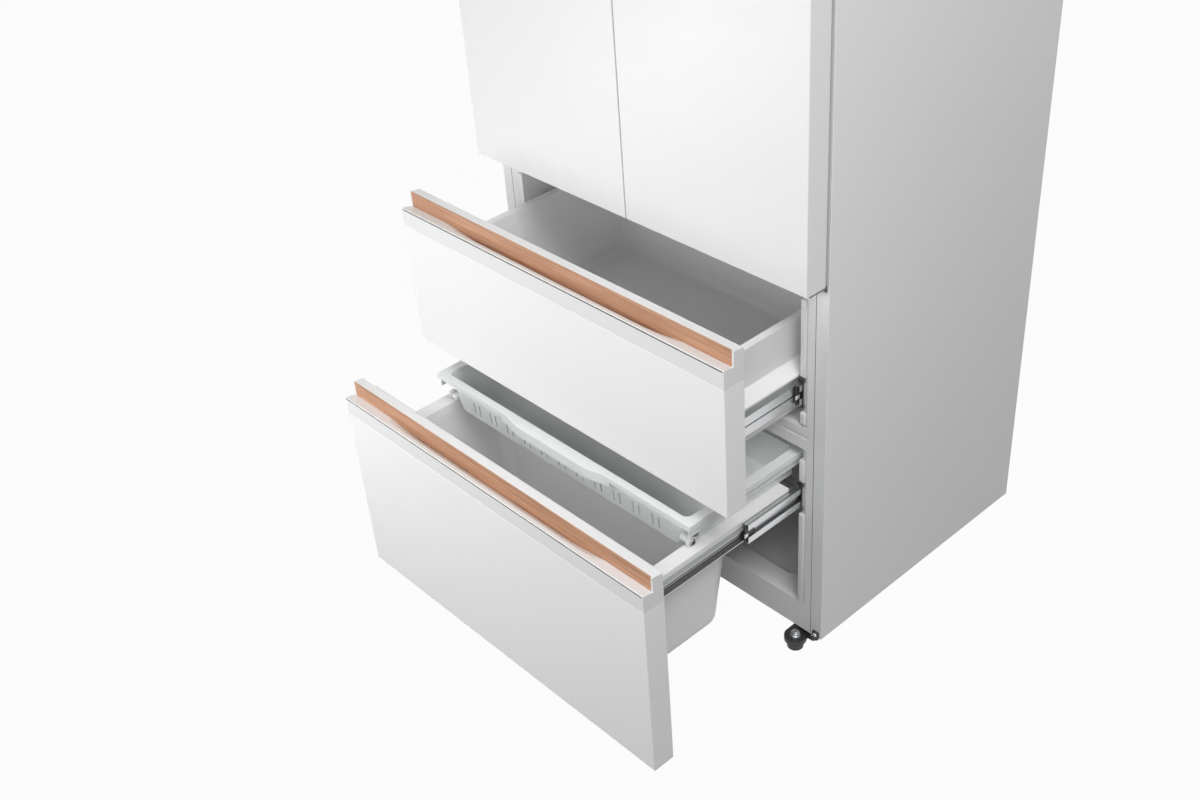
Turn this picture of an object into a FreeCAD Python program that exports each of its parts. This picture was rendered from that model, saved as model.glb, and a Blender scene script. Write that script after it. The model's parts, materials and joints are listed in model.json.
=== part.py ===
import FreeCAD, Part
import os
import re
import Sketcher

# A free-standing refrigerator with two upper doors and two pull-out freezer drawers.
# +Z is up, -Y is the front, +X is the right-hand side seen from the front.
# The drawers and the tray stand partly open, as in use.

# Driving dimensions in millimetres
SIZES = {
    # cabinet
    "cab_width": 833,
    "cab_depth": 604,
    "cab_height": 1720,
    "cab_base": 40,
    "skin": 1.2,
    "wrap_return": 25.5,
    "wrap_round": 1,
    "side_wall": 58.5,
    "back_wall": 58,
    "top_wall": 60,
    "liner_wall": 2,
    "back_rib": 3,
    "rib_width": 25,
    "rib_margin": 60,
    "rib_foot": 90,
    "rib_head": 70,
    # fronts and the gaps between them
    "door_thick": 46,
    "seal_gap": 10,
    "seal_play": 0.3,
    "front_gap": 16,
    "door_drop": 2.5,
    "seam_gap": 3,
    "lower_front_height": 412,
    "upper_front_height": 293,
    "front_round": 1.5,
    # grip along the top of a drawer front
    "grip_rise": 25,
    "cap_height": 37,
    "cap_fall": 3.5,
    "ledge_depth": 23,
    "ledge_round": 1.2,
    "ledge_fall": 5,
    "wood_thick": 2.5,
    "wood_sink": 16,
    "scoop_depth": 14,
    "scoop_start": 45,
    "scoop_full": 215,
    "scoop_lip": 7,
    "end_cap": 4,
    "trim_drop": 1.6,
    "trim_height": 2.6,
    "trim_depth": 3,
    "trim_inset": 2,
    # how far the drawers stand open
    "upper_open": 192,
    "lower_open": 389,
    # freezer compartment
    "floor_rise": 66,
    "deep_floor": 275,
    "step_rise": 245,
    "compressor_wall": 45,
    "flare_width": 16,
    "flare_depth": 10,
    "sill_depth": 47,
    "sill_side": 50,
    "pan_drop": 22,
    "pan_round": 18,
    "rail_drop": 5,
    "rail_height": 50,
    "rail_depth": 60,
    "rail_wall": 4,
    "rail_bevel": 6,
    "groove_level": 23,
    "groove_height": 8,
    "groove_depth": 1.2,
    "groove_inset": 13,
    "bottom_rail_height": 45,
    "mullion_drop": 26,
    "mullion_height": 70,
    "duct_space": 75,
    "duct_wall": 3,
    "vent_width": 80,
    "vent_height": 12,
    "vent_level": 120,
    "vent_pitch": 135,
    # cooling system
    "pot_radius": 78,
    "pot_height": 164,
    "pot_inset": 226.5,
    "pot_lift": 14,
    "pot_foot": 12,
    "pot_seam": 8,
    "stub_radius": 4,
    "cover_slot": 8,
    "cover_slot_height": 50,
    "cover_slot_level": 40,
    "cover_slot_margin": 70,
    "fin_gap": 4,
    "fin_root": 8,
    "coil_half": 260,
    "coil_height": 250,
    "coil_depth": 60,
    "coil_lift": 150,
    "condenser_offset": 70,
    "condenser_width": 260,
    "condenser_height": 180,
    "condenser_margin": 30,
    "fan_radius": 66,
    "fan_lift": 95,
    "shroud_half": 82,
    "shroud_thick": 6,
    "hub_radius": 20,
    "hub_length": 24,
    "blade_thick": 3,
    "blade_width": 26,
    # telescopic slides
    "slide_height": 46,
    "slide_wall": 1.5,
    "slide_play": 0.4,
    "slide_recess": 6,
    "recess_gap": 7,
    "slide_reach": 16,
    "slide_length": 400,
    "middle_length": 340,
    "middle_setback": 55,
    "upper_middle_length": 300,
    "upper_middle_setback": 90,
    "inner_length": 376,
    "inner_height": 25,
    "inner_drop": 4,
    "carriage_length": 80,
    "bar_slot": 3.5,
    "bar_slot_drop": 1.5,
    "bar_slot_depth": 5,
    "upper_slide_drop": 141,
    "lower_slide_drop": 29,
    # drawer bins
    "bin_gap": 18,
    "bin_wall": 3,
    "bin_rim": 15,
    "bin_draft": 8,
    "upper_bin_depth": 440,
    "upper_rim_drop": 58,
    "bin_lift": 11,
    "shoulder_height": 24,
    "shoulder_gap": 10,
    "shoulder_reach": 12,
    "lower_bin_depth": 378,
    "lower_rim_drop": 64,
    "rail_cap_reach": 12,
    "rail_cap_height": 5.5,
    "rail_skirt_reach": 6,
    "rail_skirt_height": 19,
    "lower_band": 64,
    "deep_gap": 23,
    "deep_inset": 14,
    "deep_draft": 20,
    "floor_gap": 18,
    "deep_round": 32,
    # basket tray on the lower bin
    "tray_setback": 174,
    "tray_depth": 300,
    "tray_gap": 8,
    "tray_rim": 20,
    "tray_lip": 15,
    "tray_rise": 62,
    "tray_clear": 8,
    "tray_height": 84,
    "tray_skirt": 11,
    "tray_wall": 2.5,
    "tray_draft": 26,
    "tray_lean": 5,
    "tray_round": 12,
    "wave_reach": 10,
    "wave_start": 150,
    "wave_full": 85,
    "wave_drop": 22,
    "slot_pitch": 50,
    "slot_pair": 16,
    "slot_width": 4,
    "slot_height": 26,
    "slot_drop": 38,
    "roller_radius": 9.7,
    "roller_width": 8.5,
    "roller_pin": 3,
    "roller_setback": 19,
    "roller_inset": 12,
    "roller_boss": 16,
    "roller_bevel": 1,
    "roller_wall": 2.5,
    "roller_head": 2,
    "runner_start": 45,
    "runner_width": 5,
    "band_drop": 28,
    "band_inset": 5,
    "pin_play": 0.05,
    # hinges
    "pin_radius": 4,
    "pin_inset": 14,
    "pin_setback": 24,
    "pin_length": 22,
    "hinge_plate": 3,
    "cover_height": 20,
    "cover_wall": 2,
    "cover_inward": 38,
    "cover_front": 4,
    "cover_back": 100,
    "hinge_inward": 30,
    "hinge_outward": 10,
    "hinge_forward": 12,
    "hinge_back": 90,
    "pin_tip": 4,
    "arm_drop": 7,
    "arm_inward": 14,
    "arm_forward": 10,
    "arm_foot": 2.5,
    "arm_foot_gap": 1.5,
    # feet and rear rollers
    "foot_radius": 16,
    "foot_height": 17,
    "foot_bevel": 2,
    "foot_shoulder": 3,
    "flute_radius": 2.6,
    "flute_out": 1.5,
    "hexagon_reach": 2.8,
    "hexagon_height": 6,
    "foot_stud": 5,
    "foot_inset": 51.5,
    "foot_forward": 14,
    "bracket_drop": 10.5,
    "bracket_plate": 3,
    "bracket_round": 22,
    "bracket_skirt": 10,
    "tongue_back": 70,
    "riser_start": 20,
    "ear_margin": 5,
    "ear_width": 14,
    "ear_rise": 15,
    "ear_tip": 3,
    "ear_hole_inset": 12,
    "ear_hole_rise": 8,
    "wheel_radius": 18,
    "wheel_web": 8,
    "wheel_dish": 2,
    "fork_half": 14,
    "fork_reach": 10,
    "wheel_width": 22,
    "wheel_inset": 116.5,
    "wheel_setback": 50,
    # fresh-food compartment
    "shelf_front": 140,
    "shelf_thick": 5,
    "shelf_gap": 6,
    "ledge_width": 14,
    "ledge_height": 10,
    "tower_half": 110,
    "tower_thick": 28,
    "tower_lift": 60,
    "tower_head": 40,
    "tower_vent_offset": 70,
    "tower_vent_half": 22,
    "tower_vent_lift": 90,
    "tower_vent_height": 8,
    "tower_vent_depth": 12,
    "lamp_half": 90,
    "lamp_setback": 60,
    "lamp_depth": 70,
    "lamp_drop": 10,
    "shelf_nose": 4,
    "shelf_hook": 14,
    "shelf_hook_drop": 6,
    "shelf_lip": 8,
    "shelf_lip_rise": 2,
    "crisper_gap": 12,
    "crisper_side": 6,
    "crisper_draft": 6,
    "crisper_round": 10,
    "crisper_grip": 22,
    "crisper_grip_inset": 60,
    "crisper_setback": 180,
    "crisper_depth": 300,
    "cover_rise": 172,
    "shelf_rise": 205,
    # inside of the doors
    "door_liner": 4,
    "dyke_inset": 44,
    "dyke_rise": 46,
    "dyke_wall": 14,
    "bin_reach": 100,
    "bin_height": 95,
    "bin_pitch": 250,
    "bin_round": 6,
    "bin_lean": 8,
    "gasket_inset": 28,
    "gasket_width": 18,
    "gasket_margin": 6,
    "gasket_lift": 10,
    "gasket_drop": 4,
    "beam_thick": 14,
    "beam_width": 70,
    "beam_pivot": 33,
    "socket_end": 2,
    "beam_pin_end": 3,
}

# Levels and planes worked out from the driving dimensions
TERMS = {
    "half_width": "cab_width / 2",
    "pot_offset": "half_width - pot_inset",
    "door_face": "(lower_open - door_thick - seal_gap - cab_depth) / 2",
    "door_back": "door_face + door_thick",
    "cab_face": "door_back + seal_gap",
    "cab_back": "cab_face + cab_depth",
    "cab_top": "cab_base + cab_height",
    "shell_half": "half_width - skin",
    "open_half": "half_width - side_wall",
    "flange_half": "half_width - wrap_return",
    "lower_base": "cab_base",
    "lower_ledge": "lower_base + lower_front_height",
    "lower_top": "lower_ledge + grip_rise",
    "upper_base": "lower_top + front_gap",
    "upper_ledge": "upper_base + upper_front_height",
    "upper_top": "upper_ledge + grip_rise",
    "door_base": "upper_top + front_gap",
    "door_top": "cab_top - door_drop",
    "freezer_floor": "cab_base + floor_rise",
    "rail_base": "lower_top - rail_drop",
    "rail_top": "rail_base + rail_height",
    "mullion_base": "upper_top - mullion_drop",
    "mullion_top": "mullion_base + mullion_height",
    "fresh_roof": "cab_top - top_wall",
    "inner_back": "cab_back - back_wall",
    "step_face": "cab_face + deep_floor",
    "step_top": "cab_base + step_rise",
    "engine_front": "step_face + compressor_wall",
    "engine_roof": "step_top - compressor_wall",
    "engine_floor": "cab_base + skin",
    "engine_middle": "(engine_front + cab_back) / 2",
    "fan_level": "engine_floor + fan_lift",
    "upper_rim_top": "upper_ledge - upper_rim_drop",
    "lower_rim_top": "lower_ledge - lower_rim_drop",
    "upper_slide": "upper_rim_top - upper_slide_drop",
    "lower_slide": "lower_rim_top - lower_slide_drop",
    "bin_half": "open_half - bin_gap",
    "shoulder_low": "upper_slide + slide_height / 2 + shoulder_gap",
    "shoulder_high": "shoulder_low + shoulder_height",
    "upper_bin_base": "rail_top + bin_lift",
    "lower_bin_base": "freezer_floor + floor_gap",
    "deep_depth": "seal_gap + deep_floor - deep_gap",
    "race": "open_half + slide_recess",
    "upper_face": "door_face - upper_open",
    "lower_face": "door_face - lower_open",
    "upper_back": "upper_face + door_thick",
    "lower_back": "lower_face + door_thick",
    "tray_front": "lower_face + tray_setback",
    "tray_back": "tray_front + tray_depth",
    "tray_half": "open_half - tray_gap",
    "tray_rim_top": "lower_rim_top + tray_rise",
    "tray_base": "tray_rim_top - tray_height",
    "roller_offset": "bin_half - roller_inset",
    "roller_level": "lower_rim_top + roller_radius + seal_play",
    "pin_x": "half_width - pin_inset",
    "pin_y": "door_face + pin_setback",
    "foot_x": "half_width - foot_inset",
    "foot_y": "cab_face - foot_forward",
    "plate_top": "cab_base - bracket_drop",
    "wheel_y": "cab_back - wheel_setback",
    "wheel_offset": "half_width - wheel_inset",
    "shelf_y": "cab_face + shelf_front",
    "tower_face": "inner_back - tower_thick",
    "shelf_half": "open_half - shelf_gap",
    "cover_level": "mullion_top + cover_rise",
    "crisper_height": "cover_rise - ledge_height - crisper_gap",
    "dyke_low": "mullion_top + dyke_wall",
    "dyke_high": "fresh_roof - dyke_wall",
    "dyke_outer": "open_half - dyke_wall",
    "beam_low": "dyke_low + dyke_wall",
    "beam_high": "dyke_high - dyke_wall",
    "beam_y": "cab_face + beam_thick / 2",
}

doc = FreeCAD.newDocument("Refrigerator")
sheet = doc.addObject("Spreadsheet::Sheet", "Sizes")
for row, (alias, number) in enumerate(SIZES.items(), start=1):
    sheet.set(f"A{row}", alias)
    sheet.set(f"B{row}", str(number))
    sheet.setAlias(f"B{row}", alias)
doc.recompute()

NODES = []


def expand(formula):
    """Write a formula out in the cells of the sheet."""
    def swap(match):
        word = match.group(0)
        if word in TERMS:
            return "(" + expand(TERMS[word]) + ")"
        if word in SIZES:
            return "Sizes." + word
        return word
    return re.sub(r"[A-Za-z_]\w*", swap, str(formula))


def bind(item, slot, formula):
    """Tie a property of an object to the sheet."""
    item.setExpression(slot, expand(formula))


def value(formula):
    """The number that a formula has now."""
    return float(sheet.evalExpression(expand(formula)))


def node(label, item):
    """Keep an object as a sub-part under its own name."""
    item.Label = label
    NODES.append(item)
    return item


def block(name, x, y, z):
    """A box between three pairs of formulas."""
    item = doc.addObject("Part::Box", name)
    for side, axis, (low, high) in zip(("Length", "Width", "Height"), "xyz", (x, y, z)):
        bind(item, side, f"({high}) - ({low})")
        bind(item, f"Placement.Base.{axis}", low)
    return item


def both(half):
    """The pair of formulas that lies evenly about the middle."""
    return f"-({half})", half


TURNS = {
    "x": FreeCAD.Rotation(FreeCAD.Vector(0, 1, 0), 90),
    "y": FreeCAD.Rotation(FreeCAD.Vector(1, 0, 0), -90),
    "z": FreeCAD.Rotation(),
}


def rod(name, axis, radius, x, y, z):
    """A cylinder along one axis, whose own entry is a pair of formulas."""
    item = doc.addObject("Part::Cylinder", name)
    item.Placement = FreeCAD.Placement(FreeCAD.Vector(), TURNS[axis])
    bind(item, "Radius", radius)
    for letter, span in zip("xyz", (x, y, z)):
        start = span
        if letter == axis:
            start = span[0]
            bind(item, "Height", f"({span[1]}) - ({span[0]})")
        bind(item, f"Placement.Base.{letter}", start)
    return item


def tapered(name, x, y, z, low_x, low_y):
    """A box whose bottom is smaller than its top."""
    item = doc.addObject("Part::Wedge", name)
    item.Placement = FreeCAD.Placement(FreeCAD.Vector(), FreeCAD.Rotation(FreeCAD.Vector(1, 0, 0), 90))
    spans = {
        "Xmin": low_x[0], "Xmax": low_x[1], "X2min": x[0], "X2max": x[1],
        "Ymin": z[0], "Ymax": z[1],
        "Zmin": f"-({low_y[1]})", "Zmax": f"-({low_y[0]})", "Z2min": f"-({y[1]})", "Z2max": f"-({y[0]})",
    }
    for slot, formula in spans.items():
        bind(item, slot, formula)
    return item


def fuse(name, items):
    """One solid from several that touch."""
    item = doc.addObject("Part::MultiFuse", name)
    item.Shapes = items
    item.Refine = True
    return item


def cut(name, base, tools):
    """A solid with other solids taken out of it."""
    item = doc.addObject("Part::Cut", name)
    item.Base = base
    item.Tool = tools[0] if len(tools) == 1 else fuse(name + "_tools", tools)
    item.Refine = True
    return item


def mirrored(name, source):
    """The left-hand copy of a right-hand piece."""
    item = doc.addObject("Part::Mirroring", name)
    item.Source = source
    item.Normal = FreeCAD.Vector(1, 0, 0)
    return item


def together(name, items):
    """Separate solids of one kind in one node."""
    item = doc.addObject("Part::Compound", name)
    item.Links = items
    return item


def pair(label, right):
    """A right-hand piece and its left-hand copy in one node."""
    return node(label, together(label, [right, mirrored(label + "_left", right)]))


def edges_where(shape, test, needed=all):
    """Names of the edges of which all, or any, of the end points pass a test."""
    names = []
    for index, edge in enumerate(shape.Edges, start=1):
        if needed(test(vertex.Point) for vertex in edge.Vertexes):
            names.append(f"Edge{index}")
    return names


def rounded(name, base, radius, test, needed=all):
    """A solid with the chosen edges rounded."""
    doc.recompute()
    item = doc.addObject("Part::Fillet", name)
    item.Base = base
    reach = value(radius)
    numbers = [int(edge[4:]) for edge in edges_where(base.Shape, test, needed)]
    item.Edges = [(number, reach, reach) for number in numbers]
    return item


def rounded_tub(name, base, radius, top):
    """A solid with every edge rounded but those round its top."""
    brim = value(top)
    return rounded(name, base, radius, lambda point: point.z < brim - 1, any)


def near(first, second):
    """Whether two lengths are the same place."""
    return abs(first - second) < 0.01


def start_sketch(body, name, plane, offset):
    """A sketch on one of the body's own planes, moved along its normal."""
    sketch = body.newObject("Sketcher::SketchObject", name)
    support = [item for item in body.Origin.OriginFeatures if item.Role == plane][0]
    sketch.AttachmentSupport = (support, [""])
    sketch.MapMode = "FlatFace"
    bind(sketch, "AttachmentOffset.Base.z", offset)
    return sketch


def outline(sketch, points):
    """A closed outline whose corners are tied to the sheet."""
    places = [FreeCAD.Vector(value(across), value(up), 0) for across, up in points]
    count = len(places)
    first = sketch.GeometryCount
    for index in range(count):
        line = Part.LineSegment(places[index], places[(index + 1) % count])
        sketch.addGeometry(line, False)
    for index in range(count):
        following = first + (index + 1) % count
        sketch.addConstraint(Sketcher.Constraint("Coincident", first + index, 2, following, 1))
    for index, (across, up) in enumerate(points):
        for kind, formula, number in (("DistanceX", across, places[index].x),
                                      ("DistanceY", up, places[index].y)):
            tie = sketch.addConstraint(Sketcher.Constraint(kind, first + index, 1, number))
            bind(sketch, f"Constraints[{tie}]", formula)


def circle(sketch, across, up, radius):
    """A circle whose centre and radius are tied to the sheet."""
    centre = FreeCAD.Vector(value(across), value(up), 0)
    shape = Part.Circle(centre, FreeCAD.Vector(0, 0, 1), value(radius))
    index = sketch.addGeometry(shape, False)
    for kind, formula, number in (("DistanceX", across, centre.x), ("DistanceY", up, centre.y)):
        tie = sketch.addConstraint(Sketcher.Constraint(kind, index, 3, number))
        bind(sketch, f"Constraints[{tie}]", formula)
    tie = sketch.addConstraint(Sketcher.Constraint("Radius", index, value(radius)))
    bind(sketch, f"Constraints[{tie}]", radius)


PLANES = {"x": "YZ_Plane", "y": "XZ_Plane", "z": "XY_Plane"}


def profile(name, axis, points, low, high):
    """A body padded along an axis from an outline."""
    body = doc.addObject("PartDesign::Body", name)
    add_pad(body, name + "_pad", axis, points, low, high)
    return body


def add_pad(body, name, axis, points, low, high):
    """A pad between two places along an axis."""
    offset = f"-({high})" if axis == "y" else low
    sketch = start_sketch(body, name + "_sketch", PLANES[axis], offset)
    outline(sketch, points)
    pad = body.newObject("PartDesign::Pad", name)
    pad.Profile = sketch
    bind(pad, "Length", f"({high}) - ({low})")
    doc.recompute()
    return pad


def add_pocket(body, name, axis, outlines, low, high):
    """A pocket between two places along an axis."""
    offset = f"-({low})" if axis == "y" else high
    sketch = start_sketch(body, name + "_sketch", PLANES[axis], offset)
    for points in outlines:
        outline(sketch, points)
    before = body.Shape.Volume
    pocket = body.newObject("PartDesign::Pocket", name)
    pocket.Profile = sketch
    bind(pocket, "Length", f"({high}) - ({low})")
    doc.recompute()
    if not body.Shape.Volume < before:
        raise RuntimeError(name + " cuts nothing")
    return pocket


def add_row(body, feature, name, direction, length, count):
    """Copies of a feature in a row along a sketch axis."""
    row_of = body.newObject("PartDesign::LinearPattern", name)
    row_of.Originals = [feature]
    row_of.Direction = (feature.Profile[0], [direction])
    bind(row_of, "Length", length)
    row_of.Occurrences = count
    body.Tip = row_of
    doc.recompute()
    return row_of


def soften(body, radius, test):
    """Round the chosen edges of a body."""
    doc.recompute()
    base = body.Tip
    fillet = body.newObject("PartDesign::Fillet", body.Name + "_round")
    fillet.Base = (base, edges_where(base.Shape, test))
    bind(fillet, "Radius", radius)
    doc.recompute()
    return body


def rectangle(x, z):
    """The four corners between two pairs of formulas."""
    return [(x[0], z[0]), (x[1], z[0]), (x[1], z[1]), (x[0], z[1])]


def turned(name, points, axis, x, y, z):
    """A solid turned about its own axis from an outline of (radius, height) points."""
    body = doc.addObject("PartDesign::Body", name)
    sketch = start_sketch(body, name + "_sketch", "XZ_Plane", "0")
    outline(sketch, points)
    turn = body.newObject("PartDesign::Revolution", name + "_turn")
    turn.Profile = sketch
    turn.ReferenceAxis = (sketch, ["V_Axis"])
    turn.Angle = 360
    body.Placement = FreeCAD.Placement(FreeCAD.Vector(), TURNS[axis])
    for letter, formula in zip("xyz", (x, y, z)):
        bind(body, f"Placement.Base.{letter}", formula)
    doc.recompute()
    return body


def frame_ring(name, x, y, z, width):
    """A rectangular ring that lies in a vertical plane."""
    outer = block(name + "_outer", x, y, z)
    inner = block(name + "_inner", (f"{x[0]} + {width}", f"{x[1]} - {width}"),
                  (f"{y[0]} - 1", f"{y[1]} + 1"), (f"{z[0]} + {width}", f"{z[1]} - {width}"))
    return cut(name, outer, [inner])


def front_panel(name, x, y, z):
    """A foamed panel whose front edges are rounded over."""
    body = profile(name, "y", rectangle(x, z), y[0], y[1])
    face = value(y[0])
    return soften(body, "front_round", lambda point: near(point.y, face))


# Cabinet: steel wrap, back panel, base pan
def outer_wrap():
    """One folded sheet round both sides and the top, with a return at the front."""
    sheet_points = [("-half_width", "cab_base"), ("-half_width", "cab_top"), ("half_width", "cab_top"),
                    ("half_width", "cab_base"), ("shell_half", "cab_base"),
                    ("shell_half", "cab_top - skin"),
                    ("-shell_half", "cab_top - skin"), ("-shell_half", "cab_base")]
    body = profile("outer_wrap", "y", sheet_points, "cab_face", "cab_back")
    return_points = [("-half_width", "cab_base"), ("-half_width", "cab_top"), ("half_width", "cab_top"),
                     ("half_width", "cab_base"), ("flange_half", "cab_base"),
                     ("flange_half", "cab_top - wrap_return"), ("-flange_half", "cab_top - wrap_return"),
                     ("-flange_half", "cab_base")]
    add_pad(body, "outer_wrap_return", "y", return_points, "cab_face", "cab_face + skin")
    side, front, roof = (value(word) for word in ("half_width", "cab_face", "cab_top"))
    soften(body, "wrap_round",
           lambda point: near(abs(point.x), side) and (near(point.y, front) or near(point.z, roof)))
    node("outer_wrap", body)


def back_panel():
    """A flat sheet with pressed vertical ribs."""
    low, high = "engine_roof", "cab_top - skin"
    sheet_back = "cab_back - back_rib"
    body = profile("back_panel", "y", rectangle(both("shell_half"), (low, high)),
                   "cab_back - back_rib - skin", sheet_back)
    rib = add_pad(body, "back_panel_rib", "y",
                  rectangle(("-shell_half + rib_margin", "-shell_half + rib_margin + rib_width"),
                            (f"{low} + rib_foot", f"{high} - rib_head")),
                  sheet_back, "cab_back")
    add_row(body, rib, "back_panel_ribs", "H_Axis", "2 * shell_half - 2 * rib_margin - rib_width", 6)
    node("back_panel", body)


def base_pan():
    """The bottom sheet with the step over the compressor and the forks of the rear rollers."""
    points = [("cab_face + liner_wall", "cab_base"), ("cab_back - skin", "cab_base"),
              ("cab_back - skin", "engine_floor"), ("engine_front", "engine_floor"),
              ("engine_front", "engine_roof - skin"), ("cab_back - skin", "engine_roof - skin"),
              ("cab_back - skin", "engine_roof"), ("engine_front - skin", "engine_roof"),
              ("engine_front - skin", "engine_floor"), ("cab_face + liner_wall", "engine_floor")]
    pan = profile("base_pan_sheet", "x", points, "-shell_half", "shell_half")
    pieces = [pan]
    inner_gap = "wheel_width / 2 + seal_play"
    for side, sign in (("right", 1), ("left", -1)):
        centre = f"{sign} * wheel_offset"
        for number, way in ((1, 1), (2, -1)):
            near_face = f"{centre} + {way} * ({inner_gap})"
            far_face = f"{centre} + {way} * ({inner_gap} + hinge_plate)"
            span = (near_face, far_face) if way == 1 else (far_face, near_face)
            pieces.append(block(f"fork_{side}_{number}", span,
                                ("wheel_y - fork_half", "wheel_y + fork_half"),
                                ("wheel_radius - fork_reach", "engine_floor")))
        pieces.append(rod(f"axle_{side}", "x", "pin_radius",
                          (f"{centre} - ({inner_gap} + hinge_plate)",
                           f"{centre} + ({inner_gap} + hinge_plate)"),
                          "wheel_y", "wheel_radius"))
    node("base_pan", fuse("base_pan", pieces))


def rear_roller(side, sign):
    """A plain plastic wheel with a raised hub."""
    half = "wheel_width / 2"
    hub, dish = "wheel_radius - wheel_web", "wheel_radius - wheel_web + wheel_dish"
    points = [("pin_radius + pin_play", f"-{half}"), (hub, f"-{half}"), (dish, f"-{half} + wheel_dish"),
              ("wheel_radius - wheel_dish", f"-{half} + wheel_dish"),
              ("wheel_radius", f"-{half} + 2 * wheel_dish"),
              ("wheel_radius", f"{half} - 2 * wheel_dish"),
              ("wheel_radius - wheel_dish", f"{half} - wheel_dish"),
              (dish, f"{half} - wheel_dish"), (hub, half), ("pin_radius + pin_play", half)]
    label = "rear_roller_" + side
    node(label, turned(label, points, "x", f"{sign} * wheel_offset", "wheel_y", "wheel_radius"))


# Inner liners, insulation and the rails across the front
def freezer_spaces(name, wall):
    """The freezer hollow, grown by a wall on every side but the front."""
    start = "cab_face - 1" if wall == "0" else "cab_face"
    spaces = [
        block(name + "_main", both(f"open_half + {wall}"), (start, f"inner_back + {wall}"),
              (f"step_top - {wall}", f"mullion_base + {wall}")),
        block(name + "_low", both(f"open_half + {wall}"), (start, f"step_face + {wall}"),
              (f"freezer_floor - {wall}", "step_top + liner_wall")),
    ]
    wide = f"open_half + flare_width + {wall}"
    narrow = f"open_half + {wall}"
    inner_end = f"cab_face + flare_depth + {wall}"
    mouth = [(f"-({wide})", "cab_face"), (wide, "cab_face"), (narrow, inner_end),
             (f"-({narrow})", inner_end)]
    mouth_z = (f"freezer_floor - {wall}", f"mullion_base + {wall}")
    spaces.append(profile(name + "_mouth", "z", mouth, mouth_z[0], mouth_z[1]))
    if wall == "0":
        spaces.append(block(name + "_mouth_front", both(wide), (start, "cab_face"), mouth_z))
    pan_top = "freezer_floor + liner_wall"
    pan = block(name + "_pan", both(f"open_half - sill_side + {wall}"),
                (f"cab_face + sill_depth - {wall}", f"step_face - pan_round + {wall}"),
                (f"freezer_floor - pan_drop - {wall}", pan_top))
    spaces.append(rounded_tub(name + "_pan_soft", pan, f"pan_round + {wall}", pan_top))
    for level in ("upper_slide", "lower_slide"):
        reach = f"slide_height / 2 + recess_gap + {wall}"
        spaces.append(block(f"{name}_{level}", both(f"race + {wall}"),
                            (start, f"cab_face + liner_wall + slide_length + {wall}"),
                            (f"{level} - ({reach})", f"{level} + {reach}")))
    return fuse(name, spaces)


def freezer_liner():
    """Thermoformed freezer tub with the compressor step, slide recesses and front flange."""
    outside = freezer_spaces("freezer_outside", "liner_wall")
    inside = freezer_spaces("freezer_inside", "0")
    flange = block("freezer_flange", both("flange_half"), ("cab_face", "cab_face + liner_wall"),
                   ("cab_base + bottom_rail_height", "mullion_base"))
    rail_seat = block("freezer_rail_seat", both("flange_half"), ("cab_face - 1", "cab_face + liner_wall"),
                      ("rail_base", "rail_top"))
    shell = fuse("freezer_shell", [outside, flange])
    node("freezer_liner", cut("freezer_liner", shell, [inside, rail_seat]))
    return outside


def fresh_liner():
    """Fresh-food tub with a pair of ledges for each shelf."""
    outside = block("fresh_outside", both("open_half + liner_wall"),
                    ("cab_face", "inner_back + liner_wall"),
                    ("mullion_top - liner_wall", "fresh_roof + liner_wall"))
    flange = block("fresh_flange", both("flange_half"), ("cab_face", "cab_face + liner_wall"),
                   ("mullion_top", "cab_top - wrap_return"))
    inside = block("fresh_inside", both("open_half"), ("cab_face - 1", "inner_back"),
                   ("mullion_top", "fresh_roof"))
    tub = cut("fresh_tub", fuse("fresh_shell", [outside, flange]), [inside])
    ledges = []
    for number in range(3):
        level = f"cover_level + {number} * shelf_rise"
        for side, span in (("right", ("open_half - ledge_width", "open_half")),
                           ("left", ("-open_half", "-open_half + ledge_width"))):
            ledges.append(block(f"ledge_{side}_{number}", span, ("shelf_y + shelf_gap", "inner_back"),
                                (f"{level} - ledge_height", level)))
    node("fresh_liner", fuse("fresh_liner", [tub] + ledges))
    return outside


def cabinet_foam(hollows):
    """Rigid insulation that fills everything between the sheets and the liners."""
    mass = block("foam_mass", both("shell_half"), ("cab_face + liner_wall", "cab_back - back_rib - skin"),
                 ("engine_floor", "cab_top - skin"))
    engine = block("foam_engine", both("half_width"), ("engine_front - skin", "cab_back + 1"),
                   ("cab_base - 1", "engine_roof"))
    node("cabinet_foam", cut("cabinet_foam", mass, hollows + [engine]))


def mid_rail():
    """Channel between the two drawers, bevelled along its top, with one long groove in its face."""
    points = [("cab_face", "rail_base"), ("cab_face", "rail_top - rail_bevel"),
              ("cab_face + rail_bevel / 2", "rail_top"), ("cab_face + rail_depth", "rail_top"),
              ("cab_face + rail_depth", "rail_top - rail_wall"),
              ("cab_face + rail_wall", "rail_top - rail_bevel - rail_wall"),
              ("cab_face + rail_wall", "rail_base + rail_wall"),
              ("cab_face + rail_depth", "rail_base + rail_wall"), ("cab_face + rail_depth", "rail_base")]
    channel = profile("mid_rail_channel", "x", points, "-open_half", "open_half")
    ends = [block("mid_rail_end_" + side, span, ("cab_face", "cab_face + liner_wall"),
                  ("rail_base", "rail_top"))
            for side, span in (("right", ("open_half", "flange_half")),
                               ("left", ("-flange_half", "-open_half")))]
    middle = "rail_base + groove_level + groove_height / 2"
    reach = "flange_half - groove_inset - groove_height / 2"
    depth = ("cab_face - 1", "cab_face + groove_depth")
    groove = [block("rail_groove", both(reach), depth,
                    (f"{middle} - groove_height / 2", f"{middle} + groove_height / 2"))]
    for side, centre in (("right", reach), ("left", f"-({reach})")):
        groove.append(rod("rail_groove_" + side, "y", "groove_height / 2", centre, depth, middle))
    node("mid_rail", cut("mid_rail", fuse("mid_rail_solid", [channel] + ends), groove))


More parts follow.
